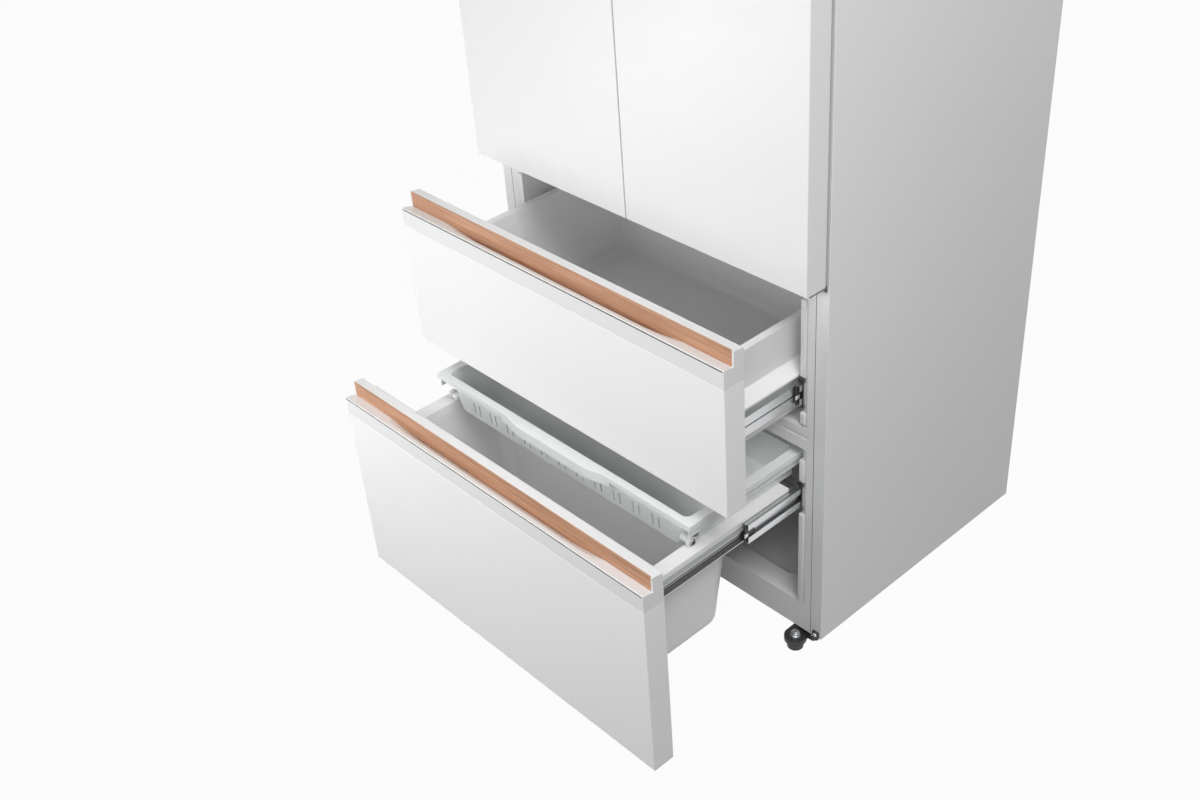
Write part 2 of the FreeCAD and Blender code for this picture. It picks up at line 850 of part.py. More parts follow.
def cross_plates():
    """Steel plates across the cabinet's front, above and below the freezer."""
    span = ("cab_face", "cab_face + liner_wall")
    node("centre_mullion", block("centre_mullion", both("flange_half"), span,
                                 ("mullion_base + liner_wall", "mullion_top - liner_wall")))
    node("bottom_rail", block("bottom_rail", both("flange_half"), span,
                              ("cab_base", "cab_base + bottom_rail_height")))


# Cooling system
def compressor():
    """Sealed pot with a welded seam and a domed lid, on a footed plate, with its pipe stubs."""
    plate = "engine_floor + pot_lift"
    base_edge, flare = "pot_radius * 0.77", "pot_height * 0.15"
    seam, shoulder = "pot_height * 0.45", "pot_height * 0.72"
    crown_edge, crown = "pot_radius * 0.87", "pot_height * 0.89"
    cap_edge, cap_level = "pot_radius * 0.56", "pot_height * 0.975"
    points = [("0", "0"), (base_edge, "0"), ("pot_radius", flare), ("pot_radius", seam),
              ("pot_radius + pot_foot / 3", seam), ("pot_radius + pot_foot / 3", f"{seam} + pot_seam"),
              ("pot_radius", f"{seam} + pot_seam"), ("pot_radius", shoulder), (crown_edge, crown),
              (cap_edge, cap_level), ("0", "pot_height")]
    pot = turned("compressor_pot", points, "z", "-pot_offset", "engine_middle", plate)
    reach = "pot_radius + 2 * pot_foot"
    depth = "pot_radius - pot_foot / 2"
    tray = block("compressor_plate", (f"-pot_offset - ({reach})", f"-pot_offset + {reach}"),
                 (f"engine_middle - ({depth})", f"engine_middle + {depth}"),
                 (plate, f"{plate} + hinge_plate"))
    pieces = [pot, tray]
    for number, (across, along) in enumerate(((1, 1), (1, -1), (-1, 1), (-1, -1))):
        pieces.append(rod(f"compressor_foot_{number}", "z", "pot_foot",
                          f"-pot_offset + {across} * (pot_radius + pot_foot / 2)",
                          f"engine_middle + {along} * (pot_radius - 2 * pot_foot)",
                          ("engine_floor", plate)))
    for number, level in enumerate((0.3, 0.62)):
        pieces.append(rod(f"compressor_stub_{number}", "x", "stub_radius",
                          ("-(pot_offset)", "-(pot_offset) + pot_radius + 3 * pot_foot"),
                          f"engine_middle + {1 - 2 * number} * pot_foot",
                          f"{plate} + pot_height * {level}"))
    node("compressor", fuse("compressor", pieces))


def compressor_cover():
    """Rear cover with rows of air slots."""
    body = profile("compressor_cover", "y", rectangle(both("shell_half"), ("cab_base", "engine_roof")),
                   "cab_back - skin", "cab_back")
    across = ("-shell_half + cover_slot_margin", "-shell_half + cover_slot_margin + cover_slot")
    slots = [rectangle(across, (f"cab_base + {level}", f"cab_base + {level} + cover_slot_height"))
             for level in ("cover_slot_level", "cover_slot_level + 1.5 * cover_slot_height")]
    slot = add_pocket(body, "cover_slot", "y", slots, "cab_back - 2 * skin", "cab_back + skin")
    add_row(body, slot, "cover_slots", "H_Axis", "2 * shell_half - 2 * cover_slot_margin - cover_slot", 30)
    node("compressor_cover", body)


def finned_block(label, x, y, z, fin_count):
    """A coil block whose fins are cut from its front."""
    body = profile(label, "y", rectangle(x, z), y[0], y[1])
    gap = add_pocket(body, label + "_gap", "y",
                     [rectangle((f"{x[0]} + fin_gap", f"{x[0]} + 2 * fin_gap"),
                                (f"{z[0]} - 1", f"{z[1]} + 1"))],
                     f"{y[0]} - 1", f"{y[1]} - fin_root")
    add_row(body, gap, label + "_gaps", "H_Axis", f"({x[1]}) - ({x[0]}) - 3 * fin_gap", fin_count)
    node(label, body)


def condenser_fan():
    """Shroud and motor that stand on the base pan, and the five-bladed rotor."""
    across = ("engine_middle - shroud_half", "engine_middle + shroud_half")
    shroud = block("fan_shroud", ("0", "shroud_thick"), across, ("engine_floor", "fan_level + shroud_half"))
    mouth = rod("fan_mouth", "x", "fan_radius + shroud_thick", ("-1", "shroud_thick + 1"), "engine_middle",
                "fan_level")
    bar = block("fan_bar", ("0", "shroud_thick / 2"), across,
                ("fan_level - shroud_thick", "fan_level + shroud_thick"))
    motor = rod("fan_can", "x", "hub_radius + 2", ("-1.5 * hub_radius", "shroud_thick"), "engine_middle",
                "fan_level")
    hub_start = "shroud_thick + 2"
    hub_end = f"{hub_start} + hub_length"
    shaft = rod("fan_shaft", "x", "roller_pin", ("shroud_thick", f"{hub_end} + 2"), "engine_middle",
                "fan_level")
    node("fan_motor", fuse("fan_motor", [cut("fan_plate", shroud, [mouth]), bar, motor, shaft]))
    hub = rod("rotor_hub", "x", "hub_radius", (hub_start, hub_end), "engine_middle", "fan_level")
    pieces = [hub]
    blade_count = 5
    blade_pitch = 40
    pitch = FreeCAD.Rotation(FreeCAD.Vector(0, 0, 1), blade_pitch)
    corner = FreeCAD.Vector(value(f"{hub_start} + 0.7 * hub_length"), -value("blade_width") / 3,
                            value("hub_radius") / 5)
    for number in range(blade_count):
        blade = doc.addObject("Part::Box", f"rotor_blade_{number}")
        bind(blade, "Length", "blade_thick")
        bind(blade, "Width", "blade_width")
        bind(blade, "Height", "fan_radius - hub_radius / 5")
        turn = FreeCAD.Rotation(FreeCAD.Vector(1, 0, 0), number * 360 / blade_count)
        blade.Placement = FreeCAD.Placement(FreeCAD.Vector(),
                                            turn).multiply(FreeCAD.Placement(corner, pitch))
        offset = blade.Placement.Base
        bind(blade, "Placement.Base.x", str(offset.x))
        bind(blade, "Placement.Base.y", f"engine_middle + ({offset.y})")
        bind(blade, "Placement.Base.z", f"fan_level + ({offset.z})")
        pieces.append(blade)
    bore = rod("rotor_bore", "x", "roller_pin + pin_play", ("shroud_thick", f"{hub_end} + 4"),
               "engine_middle", "fan_level")
    node("fan_rotor", cut("fan_rotor", fuse("rotor_blades", pieces), [bore]))


def freezer_duct():
    """Vented panel in front of the evaporator."""
    face = "inner_back - duct_space"
    body = profile("freezer_duct_panel", "y", rectangle(both("open_half"), ("step_top", "mullion_base")),
                   face, f"{face} + duct_wall")
    first = "-open_half + 1.5 * vent_width"
    vents = [rectangle((first, f"{first} + vent_width"),
                       (f"step_top + vent_level + {number} * vent_pitch",
                        f"step_top + vent_level + {number} * vent_pitch + vent_height"))
             for number in range(3)]
    vent = add_pocket(body, "duct_vent", "y", vents, f"{face} - 1", f"{face} + duct_wall + 1")
    add_row(body, vent, "duct_vents", "H_Axis", "2 * open_half - 4 * vent_width", 4)
    node("freezer_duct_panel", body)


# Fresh-food compartment
def fresh_fittings():
    """Air tower, lamp, shelves and their trims."""
    low, high = "cover_level + tower_lift", "fresh_roof - tower_head"
    tower = profile("air_tower", "y", rectangle(both("tower_half"), (low, high)), "tower_face",
                    "inner_back")
    face = value("tower_face")
    soften(tower, "ledge_height", lambda point: near(point.y, face))
    vent_z = (f"{low} + tower_vent_lift", f"{low} + tower_vent_lift + tower_vent_height")
    vents = []
    for side in (-1, 1):
        centre = f"{side} * tower_vent_offset"
        vents.append(rectangle((f"{centre} - tower_vent_half", f"{centre} + tower_vent_half"), vent_z))
    vent = add_pocket(tower, "tower_vent", "y", vents, "tower_face - 1", "tower_face + tower_vent_depth")
    add_row(tower, vent, "tower_vents", "V_Axis", "shelf_rise * 2", 3)
    node("air_tower", tower)
    lamp_y = ("shelf_y + lamp_setback", "shelf_y + lamp_setback + lamp_depth")
    lamp = tapered("lamp_lens", both("lamp_half"), lamp_y, ("fresh_roof - lamp_drop", "fresh_roof"),
                   both("lamp_half - lamp_drop"), (f"{lamp_y[0]} + lamp_drop", f"{lamp_y[1]} - lamp_drop"))
    node("ceiling_lamp", lamp)
    glasses = []
    trims = []
    for number in range(3):
        level = f"cover_level + {number} * shelf_rise"
        glasses.append(block(f"glass_{number}", both("shelf_half"), ("shelf_y", "tower_face"),
                             (level, f"{level} + shelf_thick")))
        top = f"{level} + shelf_thick"
        front, hook, foot = "shelf_y - shelf_nose", "shelf_y + shelf_hook", f"{level} - shelf_hook_drop"
        points = [(front, foot), (hook, foot), (hook, level), ("shelf_y", level), ("shelf_y", top),
                  ("shelf_y + shelf_lip", top), ("shelf_y + shelf_lip", f"{top} + shelf_lip_rise"),
                  (front, f"{top} + shelf_lip_rise")]
        trims.append(profile(f"trim_{number}", "x", points, "-shelf_half + ledge_width",
                             "shelf_half - ledge_width"))
    node("glass_shelves", together("glass_shelves", glasses))
    node("shelf_trims", together("shelf_trims", trims))


def crispers():
    """Two pull-out drawers under the lowest shelf, each with a dip in its front for the hand."""
    z = ("mullion_top + seal_play", "mullion_top + crisper_height")
    y = ("cab_face + crisper_setback", "cab_face + crisper_setback + crisper_depth")
    x = ("crisper_side", "shelf_half - crisper_side")
    lean = "crisper_draft / 2"
    outside = tapered("crisper_outside", x, y, z, (f"{x[0]} + crisper_draft", f"{x[1]} - crisper_draft"),
                      (f"{y[0]} + {lean}", f"{y[1]} - 2 * crisper_draft"))
    outside_soft = rounded_tub("crisper_outside_soft", outside, "crisper_round", z[1])
    lid = f"{z[1]} + 0.5"
    inside = tapered("crisper_inside", (f"{x[0]} + bin_wall", f"{x[1]} - bin_wall"),
                     (f"{y[0]} + 2 * bin_wall", f"{y[1]} - bin_wall"), (f"{z[0]} + bin_wall", lid),
                     (f"{x[0]} + crisper_draft + bin_wall", f"{x[1]} - crisper_draft - bin_wall"),
                     (f"{y[0]} + {lean} + 2 * bin_wall", f"{y[1]} - 2 * crisper_draft - bin_wall"))
    inside_soft = rounded_tub("crisper_inside_soft", inside, "crisper_round - bin_wall", lid)
    low, high = f"{z[1]} - crisper_grip", f"{z[1]} + 1"
    left_end, right_end = f"{x[0]} + crisper_grip_inset", f"{x[1]} - crisper_grip_inset"
    dip = [(f"{left_end} + crisper_round", low), (f"{right_end} - crisper_round", low), (right_end, high),
           (left_end, high)]
    grip = profile("crisper_grip", "y", dip, f"{y[0]} - 1", f"{y[0]} + 3 * bin_wall")
    right = cut("crisper_right", cut("crisper_body", outside_soft, [inside_soft]), [grip])
    node("crisper_right", right)
    node("crisper_left", mirrored("crisper_left", right))


# Doors
def doors():
    """Both doors: panel, liner with its raised dyke, gasket and bins."""
    low, high = "door_base", "door_top"
    split = "door_back - door_liner"
    slab = front_panel("door_slab", ("seam_gap / 2", "half_width"), ("door_face", split), (low, high))
    bores = [rod("door_bore_low", "z", "pin_radius + pin_play", "pin_x", "pin_y",
                 (f"{low} - 1", f"{low} + pin_length")),
             rod("door_bore_high", "z", "pin_radius + pin_play", "pin_x", "pin_y",
                 (f"{high} - pin_length", f"{high} + 1"))]
    panel = node("right_door_panel", cut("right_door_panel", slab, bores))
    node("left_door_panel", mirrored("left_door_panel", panel))

    sheet_block = block("door_sheet", ("seam_gap / 2", "half_width"), (split, "door_back"), (low, high))
    dyke = frame_ring("door_dyke", ("dyke_inset", "dyke_outer"),
                      ("door_back - 0.5", "door_back + dyke_rise"),
                      ("dyke_low", "dyke_high"), "dyke_wall")
    liner = fuse("door_liner_right", [sheet_block, dyke])
    node("right_door_liner", liner)
    lugs = []
    for name, span in (("low", ("beam_low - dyke_wall", "beam_low - seal_play")),
                       ("high", ("beam_high + seal_play", "beam_high + dyke_wall"))):
        lug = block("beam_lug_" + name, ("-dyke_inset - 1", "-beam_pivot + beam_thick / 2"),
                    ("door_back - 0.5", "beam_y + beam_thick / 2"), span)
        lugs.append(lug)
    sockets = [rod("beam_socket", "z", "roller_pin + pin_play", "-beam_pivot", "beam_y",
                   ("beam_low - dyke_wall + socket_end", "beam_high + dyke_wall - socket_end"))]
    left = fuse("left_liner_lugs", [mirrored("left_liner_plain", liner)] + lugs)
    node("left_door_liner", cut("left_door_liner", left, sockets))

    gasket = frame_ring("right_door_gasket", ("seam_gap / 2 + gasket_margin", "half_width - gasket_inset"),
                        ("door_back", "cab_face - seal_play"),
                        (f"{low} + gasket_margin", f"{high} - gasket_inset"), "gasket_width")
    node("right_door_gasket", gasket)
    node("left_door_gasket", mirrored("left_door_gasket", gasket))

    bins = []
    x = ("dyke_inset + dyke_wall", "dyke_outer - dyke_wall")
    for number in range(3):
        floor = f"dyke_low + dyke_wall + ledge_height + {number} * bin_pitch"
        y = ("door_back", "door_back + bin_reach")
        z = (floor, f"{floor} + bin_height")
        shell = tapered(f"bin_shell_{number}", x, y, z, x, (y[0], f"{y[1]} - bin_lean"))
        lid = f"{z[1]} + 1"
        inner_x = (f"{x[0]} + bin_wall", f"{x[1]} - bin_wall")
        hollow = tapered(f"bin_hollow_{number}", inner_x, (f"{y[0]} + bin_wall", f"{y[1]} - bin_wall"),
                         (f"{z[0]} + bin_wall", lid), inner_x,
                         (f"{y[0]} + bin_wall", f"{y[1]} - bin_lean - bin_wall"))
        bins.append(cut(f"door_bin_{number}", rounded_tub(f"bin_soft_{number}", shell, "bin_round", z[1]),
                        [rounded_tub(f"bin_inside_{number}", hollow, "bin_round - bin_wall", lid)]))
    right_bins = together("right_door_bins", bins)
    node("right_door_bins", right_bins)
    node("left_door_bins", mirrored("left_door_bins", right_bins))


def flipper_beam():
    """Upright beam on the left door, folded back beside the dyke."""
    half = "beam_thick / 2"
    bar = block("beam_bar", (f"-beam_pivot - {half}", f"-beam_pivot + {half}"),
                (f"beam_y - {half}", f"beam_y - {half} + beam_width"), ("beam_low", "beam_high"))
    pins = rod("beam_pins", "z", "roller_pin", "-beam_pivot", "beam_y",
               ("beam_low - dyke_wall + beam_pin_end", "beam_high + dyke_wall - beam_pin_end"))
    node("flipper_beam", fuse("flipper_beam", [bar, pins]))


def hinges():
    """Top hinge plates with their covers, and the middle hinges under the doors."""
    across = ("pin_x - hinge_inward", "pin_x + hinge_outward")
    plate = block("top_plate", across, ("pin_y - hinge_forward", "cab_face + hinge_back"),
                  ("cab_top", "cab_top + hinge_plate"))
    pin = rod("top_pin", "z", "pin_radius", "pin_x", "pin_y",
              ("cab_top - pin_length + pin_tip", "cab_top + hinge_plate"))
    pair("top_hinges", fuse("top_hinge", [plate, pin]))
    cover = block("cover_outside", ("pin_x - cover_inward", "half_width"),
                  ("door_face + cover_front", "cab_face + cover_back"),
                  ("cab_top", "cab_top + cover_height"))
    roof = value("cab_top + cover_height")
    shell = rounded("cover_round", cover, "cover_wall", lambda point: near(point.z, roof))
    hollow = block("cover_hollow", ("pin_x - cover_inward + cover_wall", "half_width - cover_wall"),
                   ("door_face + cover_front + cover_wall", "cab_face + cover_back - cover_wall"),
                   ("cab_top - 1", "cab_top + cover_height - cover_wall"))
    pair("hinge_covers", cut("hinge_cover", shell, [hollow]))
    low = "door_base - arm_drop"
    arm = block("middle_arm", ("pin_x - arm_inward", "pin_x + hinge_outward"),
                ("pin_y - arm_forward", "cab_face"),
                (low, f"{low} + hinge_plate"))
    foot = block("middle_foot", across, ("cab_face - arm_foot", "cab_face"),
                 ("upper_top + arm_foot_gap", f"{low} + hinge_plate"))
    post = rod("middle_pin", "z", "pin_radius", "pin_x", "pin_y", (low, "door_base + pin_length - pin_tip"))
    pair("mid_hinges", fuse("mid_hinge", [arm, foot, post]))


# Drawer fronts with their grips
def scoop_tool(name, face, ledge):
    """The hollow that deepens the ledge towards the oak strip, with a soft start at each end."""
    def edge_wire(across, depth):
        top = value(ledge)
        ends = value("half_width - scoop_start")
        full = value("half_width - scoop_full")
        third = (ends - full) / 3
        rise = [FreeCAD.Vector(-ends, across, top), FreeCAD.Vector(-ends + third, across, top),
                FreeCAD.Vector(-full - third, across, top - depth),
                FreeCAD.Vector(-full, across, top - depth)]
        fall = [FreeCAD.Vector(-point.x, point.y, point.z) for point in reversed(rise)]
        curves = []
        for poles in (rise, fall):
            curve = Part.BezierCurve()
            curve.setPoles(poles)
            curves.append(curve.toShape())
        lid = top + 1
        corners = [FreeCAD.Vector(ends, across, lid), FreeCAD.Vector(-ends, across, lid)]
        lines = [Part.makeLine(rise[3], fall[0]), Part.makeLine(fall[3], corners[0]),
                 Part.makeLine(corners[0], corners[1]), Part.makeLine(corners[1], rise[0])]
        return Part.Wire([curves[0], lines[0], curves[1], lines[1], lines[2], lines[3]])
    front = edge_wire(value(f"{face} + scoop_lip"), 0.05)
    back = edge_wire(value(f"{face} + ledge_depth"), value("scoop_depth"))
    tool = doc.addObject("Part::Feature", name)
    tool.Shape = Part.makeLoft([front, back], True, True)
    return tool


def drawer_front(which):
    """Panel, moulded cap, oak strip, trim line and gasket of one drawer front."""
    base, ledge, top, face = (f"{which}_{word}" for word in ("base", "ledge", "top", "face"))
    seam = f"{ledge} - cap_height"
    back = f"{face} + door_thick"
    node(which + "_front_panel", front_panel(which + "_front_panel", both("half_width"), (face, back),
                                             (base, seam)))

    wood_face = f"{face} + ledge_depth"
    wood_back = f"{wood_face} + wood_thick"
    wood_foot = f"{ledge} - wood_sink"
    trim_top = f"{ledge} - trim_drop"
    trim_low = f"{trim_top} - trim_height"
    points = [(face, seam), (face, trim_low), (f"{face} + trim_depth", trim_low),
              (f"{face} + trim_depth", trim_top),
              (face, trim_top), (face, ledge), (wood_face, f"{ledge} - ledge_fall"), (wood_face, wood_foot),
              (wood_back, wood_foot),
              (wood_back, top), (back, f"{top} - cap_fall"), (back, seam)]
    moulding = profile(which + "_moulding", "x", points, "-half_width", "half_width")
    nose = value(face)
    shelf = value(ledge)
    soften(moulding, "ledge_round", lambda point: near(point.y, nose) and near(point.z, shelf))
    scooped = cut(which + "_scooped", moulding, [scoop_tool(which + "_scoop", face, ledge)])
    ends = []
    for side, span in (("right", ("half_width - end_cap", "half_width")),
                       ("left", ("-half_width", "end_cap - half_width"))):
        ends.append(block(f"{which}_end_{side}", span, (wood_face, wood_back), (wood_foot, top)))
    for side, span in (("right", ("half_width - trim_inset", "half_width")),
                       ("left", ("-half_width", "trim_inset - half_width"))):
        ends.append(block(f"{which}_stop_{side}", span, (face, f"{face} + trim_depth"),
                          (trim_low, trim_top)))
    node(which + "_front_cap", fuse(which + "_front_cap", [scooped] + ends))

    strip = profile(which + "_wood_strip", "x", rectangle((wood_face, wood_back), (wood_foot, top)),
                    "end_cap - half_width", "half_width - end_cap")
    node(which + "_wood_strip", strip)
    node(which + "_trim_line", block(which + "_trim_line", both("half_width - trim_inset"),
                                     (face, f"{face} + trim_depth"), (trim_low, trim_top)))
    node(which + "_gasket", frame_ring(which + "_gasket", both("half_width - gasket_inset"),
                                       (back, f"{back} + seal_gap - seal_play"),
                                       (f"{base} + gasket_lift", f"{top} - gasket_drop"), "gasket_width"))


# Drawer bins
def upper_bin():
    """Bin with a smooth wall over a shoulder that shelters the slides."""
    base = "upper_bin_base"
    rim = "upper_rim_top"
    shelter = "shoulder_low"
    lip = "bin_half + shoulder_reach"
    waist = ("bin_half - bin_draft", "shoulder_high")
    right = [("bin_half", base), ("bin_half", shelter), (lip, shelter), (lip, f"{shelter} + bin_wall"),
             waist,
             ("bin_half", rim)]
    left = [(f"-({across})", up) for across, up in reversed(right)]
    y = ("upper_back", "upper_back + upper_bin_depth")
    body = profile("upper_bin_outside", "y", right + left, y[0], y[1])
    floor = value(base)
    soften(body, "bin_rim", lambda point: near(point.z, floor) and near(abs(point.x), value("bin_half")))
    inside_half = "bin_half - bin_rim"
    hollow = tapered("upper_bin_hollow", both(inside_half), (f"{y[0]} + bin_wall", f"{y[1]} - bin_wall"),
                     (f"{base} + bin_wall", f"{rim} + 1"), both(f"{inside_half} - bin_draft"),
                     (f"{y[0]} + bin_wall + bin_draft", f"{y[1]} - bin_wall - bin_draft"))
    soft = rounded_tub("upper_bin_inside", hollow, "bin_rim", f"{rim} + 1")
    node("upper_bin", cut("upper_bin", body, [soft]))


def lower_bin():
    """Deep tub with large corners, hung between two rails that run back over the compressor step."""
    rim = "lower_rim_top"
    band = f"{rim} - lower_band"
    base = "lower_bin_base"
    y = ("lower_back", "lower_back + lower_bin_depth")
    rail_in = "bin_half - bin_rim - bin_wall"
    collar = block("lower_collar", both("bin_half"), y, (band, rim))
    between = block("lower_between", both(rail_in), (f"{y[0]} + bin_wall", f"{y[1]} + 1"),
                    (f"{band} - 1", f"{rim} + 1"))
    hollows = [between]
    for side, sign in (("right", 1), ("left", -1)):
        def across(low, high):
            return (low, high) if sign == 1 else (f"-({high})", f"-({low})")
        hollows.append(block("rail_hollow_" + side, across("bin_half - bin_rim", "bin_half - bin_wall"),
                             (f"{y[0]} + bin_rim", f"{y[1]} - bin_wall"),
                             (f"{band} - 1", f"{rim} - bin_wall")))
    rails = [cut("lower_rails", collar, hollows)]
    for side, sign in (("right", 1), ("left", -1)):
        for name, reach, height in (("rail_cap_", "rail_cap_reach", "rail_cap_height"),
                                    ("rail_skirt_", "rail_skirt_reach", "rail_skirt_height")):
            span = ("bin_half", f"bin_half + {reach}") if sign == 1 else (f"-(bin_half + {reach})",
                                                                          "-bin_half")
            rails.append(block(name + side, span, y, (f"{rim} - {height}", rim)))

    top = "tray_base - tray_clear"
    deep_y = (y[0], f"{y[0]} + deep_depth")
    deep_half = "bin_half - deep_inset"
    deep = tapered("lower_deep", both(deep_half), deep_y, (base, top), both(f"{deep_half} - deep_draft"),
                   (f"{y[0]} + deep_draft", f"{deep_y[1]} - deep_draft"))
    lid = f"{top} + 1"
    hollow = tapered("lower_deep_hollow", both(f"{deep_half} - bin_wall"),
                     (f"{y[0]} + bin_wall", f"{deep_y[1]} - bin_wall"), (f"{base} + bin_wall", lid),
                     both(f"{deep_half} - deep_draft - bin_wall"),
                     (f"{y[0]} + deep_draft + bin_wall", f"{deep_y[1]} - deep_draft - bin_wall"))
    tub = cut("lower_tub", rounded_tub("lower_deep_soft", deep, "deep_round", top),
              [rounded_tub("lower_deep_inside", hollow, "deep_round - bin_wall", lid)])
    node("lower_bin", fuse("lower_bin", rails + [tub]))


# Telescopic slides
def channel_points(points, level):
    """Outline of a slide member about its own level."""
    return [(across, f"{level} + ({up})") for across, up in points]


def slides(which):
    """Outer, middle and inner slide members of one drawer, right and left."""
    level = f"{which}_slide"
    half = "slide_height / 2"
    outer = [("race", f"-{half}"), ("race", half), ("race - slide_reach", half),
             ("race - slide_reach", f"{half} - slide_wall"), ("race - slide_wall", f"{half} - slide_wall"),
             ("race - slide_wall", f"slide_wall - {half}"), ("race - slide_reach", f"slide_wall - {half}"),
             ("race - slide_reach", f"-{half}")]
    start = "cab_face + liner_wall"
    member = profile(which + "_outer_member", "y", channel_points(outer, level), start,
                     f"{start} + slide_length")
    pair(which + "_slide_outers", member)

    half = "(slide_height / 2 - slide_wall - slide_play)"
    web = "race - slide_reach / 2"
    near_side = "race - slide_reach - slide_wall"
    far_side = "race - slide_wall - slide_play"
    middle = [(near_side, f"-{half}"), (far_side, f"-{half}"), (far_side, f"slide_wall - {half}"),
              (web, f"slide_wall - {half}"), (web, f"{half} - slide_wall"),
              (far_side, f"{half} - slide_wall"),
              (far_side, half), (near_side, half), (near_side, f"{half} - slide_wall"),
              (f"{web} - slide_wall", f"{half} - slide_wall"),
              (f"{web} - slide_wall", f"slide_wall - {half}"),
              (near_side, f"slide_wall - {half}")]
    prefix = "upper_" if which == "upper" else ""
    start = f"cab_face + {prefix}middle_setback - {which}_open / 2"
    member = profile(which + "_middle_member", "y", channel_points(middle, level), start,
                     f"{start} + {prefix}middle_length")
    pair(which + "_slide_middles", member)

    half = "(slide_height / 2 - 2 * slide_wall - 2 * slide_play)"
    edge = "race - slide_reach / 2 - slide_wall - slide_play"
    start, end = f"{which}_back", f"{which}_back + inner_length"
    if which == "lower":
        low, high = "-inner_drop - inner_height / 2", "inner_height / 2 - inner_drop"
        back = "bin_half + slide_wall"
        inner = [("bin_half", low), (edge, low), (edge, f"{low} + slide_wall"),
                 (back, f"{low} + slide_wall"),
                 (back, f"{high} - slide_wall"), (edge, f"{high} - slide_wall"), (edge, high),
                 ("bin_half", high)]
        rail = profile("lower_inner_rail", "y", channel_points(inner, level), start, end)
        carriage = block("lower_carriage", (f"{near_side} + slide_play", edge),
                         (f"{end} - carriage_length", end),
                         (f"{level} - {half}", f"{level} + {half}"))
        member = fuse("lower_inner_member", [rail, carriage])
    else:
        slot = f"{edge} - bar_slot_depth"
        low, high = "-bar_slot_drop", "bar_slot - bar_slot_drop"
        inner = [("bin_half", f"-{half}"), (edge, f"-{half}"), (edge, low), (slot, low), (slot, high),
                 (edge, high),
                 (edge, half), ("bin_half", half)]
        member = profile("upper_inner_member", "y", channel_points(inner, level), start, end)
    pair(which + "_slide_inners", member)


# Basket tray and its rollers
def grip_wave():
    """The forward swell in the tray's front rim: its deck and its hanging lip."""
    def edge(shift):
        front = value("tray_front") + shift
        start, full, reach = (value(word) for word in ("wave_start", "wave_full", "wave_reach"))
        bend = (start - full) / 2
        rise = [FreeCAD.Vector(-start, front, 0), FreeCAD.Vector(bend - start, front, 0),
                FreeCAD.Vector(-full - bend, front - reach, 0), FreeCAD.Vector(-full, front - reach, 0)]
        fall = [FreeCAD.Vector(-point.x, point.y, 0) for point in reversed(rise)]
        pieces = []
        for poles in (rise, fall):
            curve = Part.BezierCurve()
            curve.setPoles(poles)
            pieces.append(curve.toShape())
        return rise[0], fall[3], [pieces[0], Part.makeLine(rise[3], fall[0]), pieces[1]]
    wall = value("tray_wall")
    left, right, outer = edge(0)
    inner_left, inner_right, inner = edge(wall)
    roof = value("tray_rim_top")
    deck = Part.Face(Part.Wire(outer + [Part.makeLine(right, inner_right),
                                        Part.makeLine(inner_right, inner_left),
                                        Part.makeLine(inner_left, left)]))
    lip = Part.Face(Part.Wire(Part.__sortEdges__(outer + inner + [Part.makeLine(right, inner_right),
                                                                  Part.makeLine(inner_left, left)])))
    pieces = []
    for name, face, height in (("tray_wave_deck", deck, wall), ("tray_wave_lip", lip, value("wave_drop"))):
        face.translate(FreeCAD.Vector(0, 0, roof - height))
        item = doc.addObject("Part::Feature", name)
        item.Shape = face.extrude(FreeCAD.Vector(0, 0, height))
        pieces.append(item)
    return pieces


def tray_slots():
    """Pairs of upright slots in a row, as one cutting tool."""
    slot_top = "tray_rim_top - slot_drop"
    depth = "tray_lip + tray_rim"
    slots = doc.addObject("PartDesign::Body", "tray_slots")
    sketch = start_sketch(slots, "tray_slot_sketch", "XZ_Plane", f"-(tray_front + {depth})")
    for way in (-1, 1):
        centre = f"-5 * slot_pitch + {way} * slot_pair / 2"
        outline(sketch, rectangle((f"{centre} - slot_width / 2", f"{centre} + slot_width / 2"),
                                  (f"{slot_top} - slot_height", slot_top)))
    bars = slots.newObject("PartDesign::Pad", "tray_slot_pad")
    bars.Profile = sketch
    bars.AllowMultiFace = True
    bind(bars, "Length", depth)
    slots.AllowCompound = True
    doc.recompute()
    add_row(slots, bars, "tray_slot_row", "H_Axis", "10 * slot_pitch", 11)
    return slots


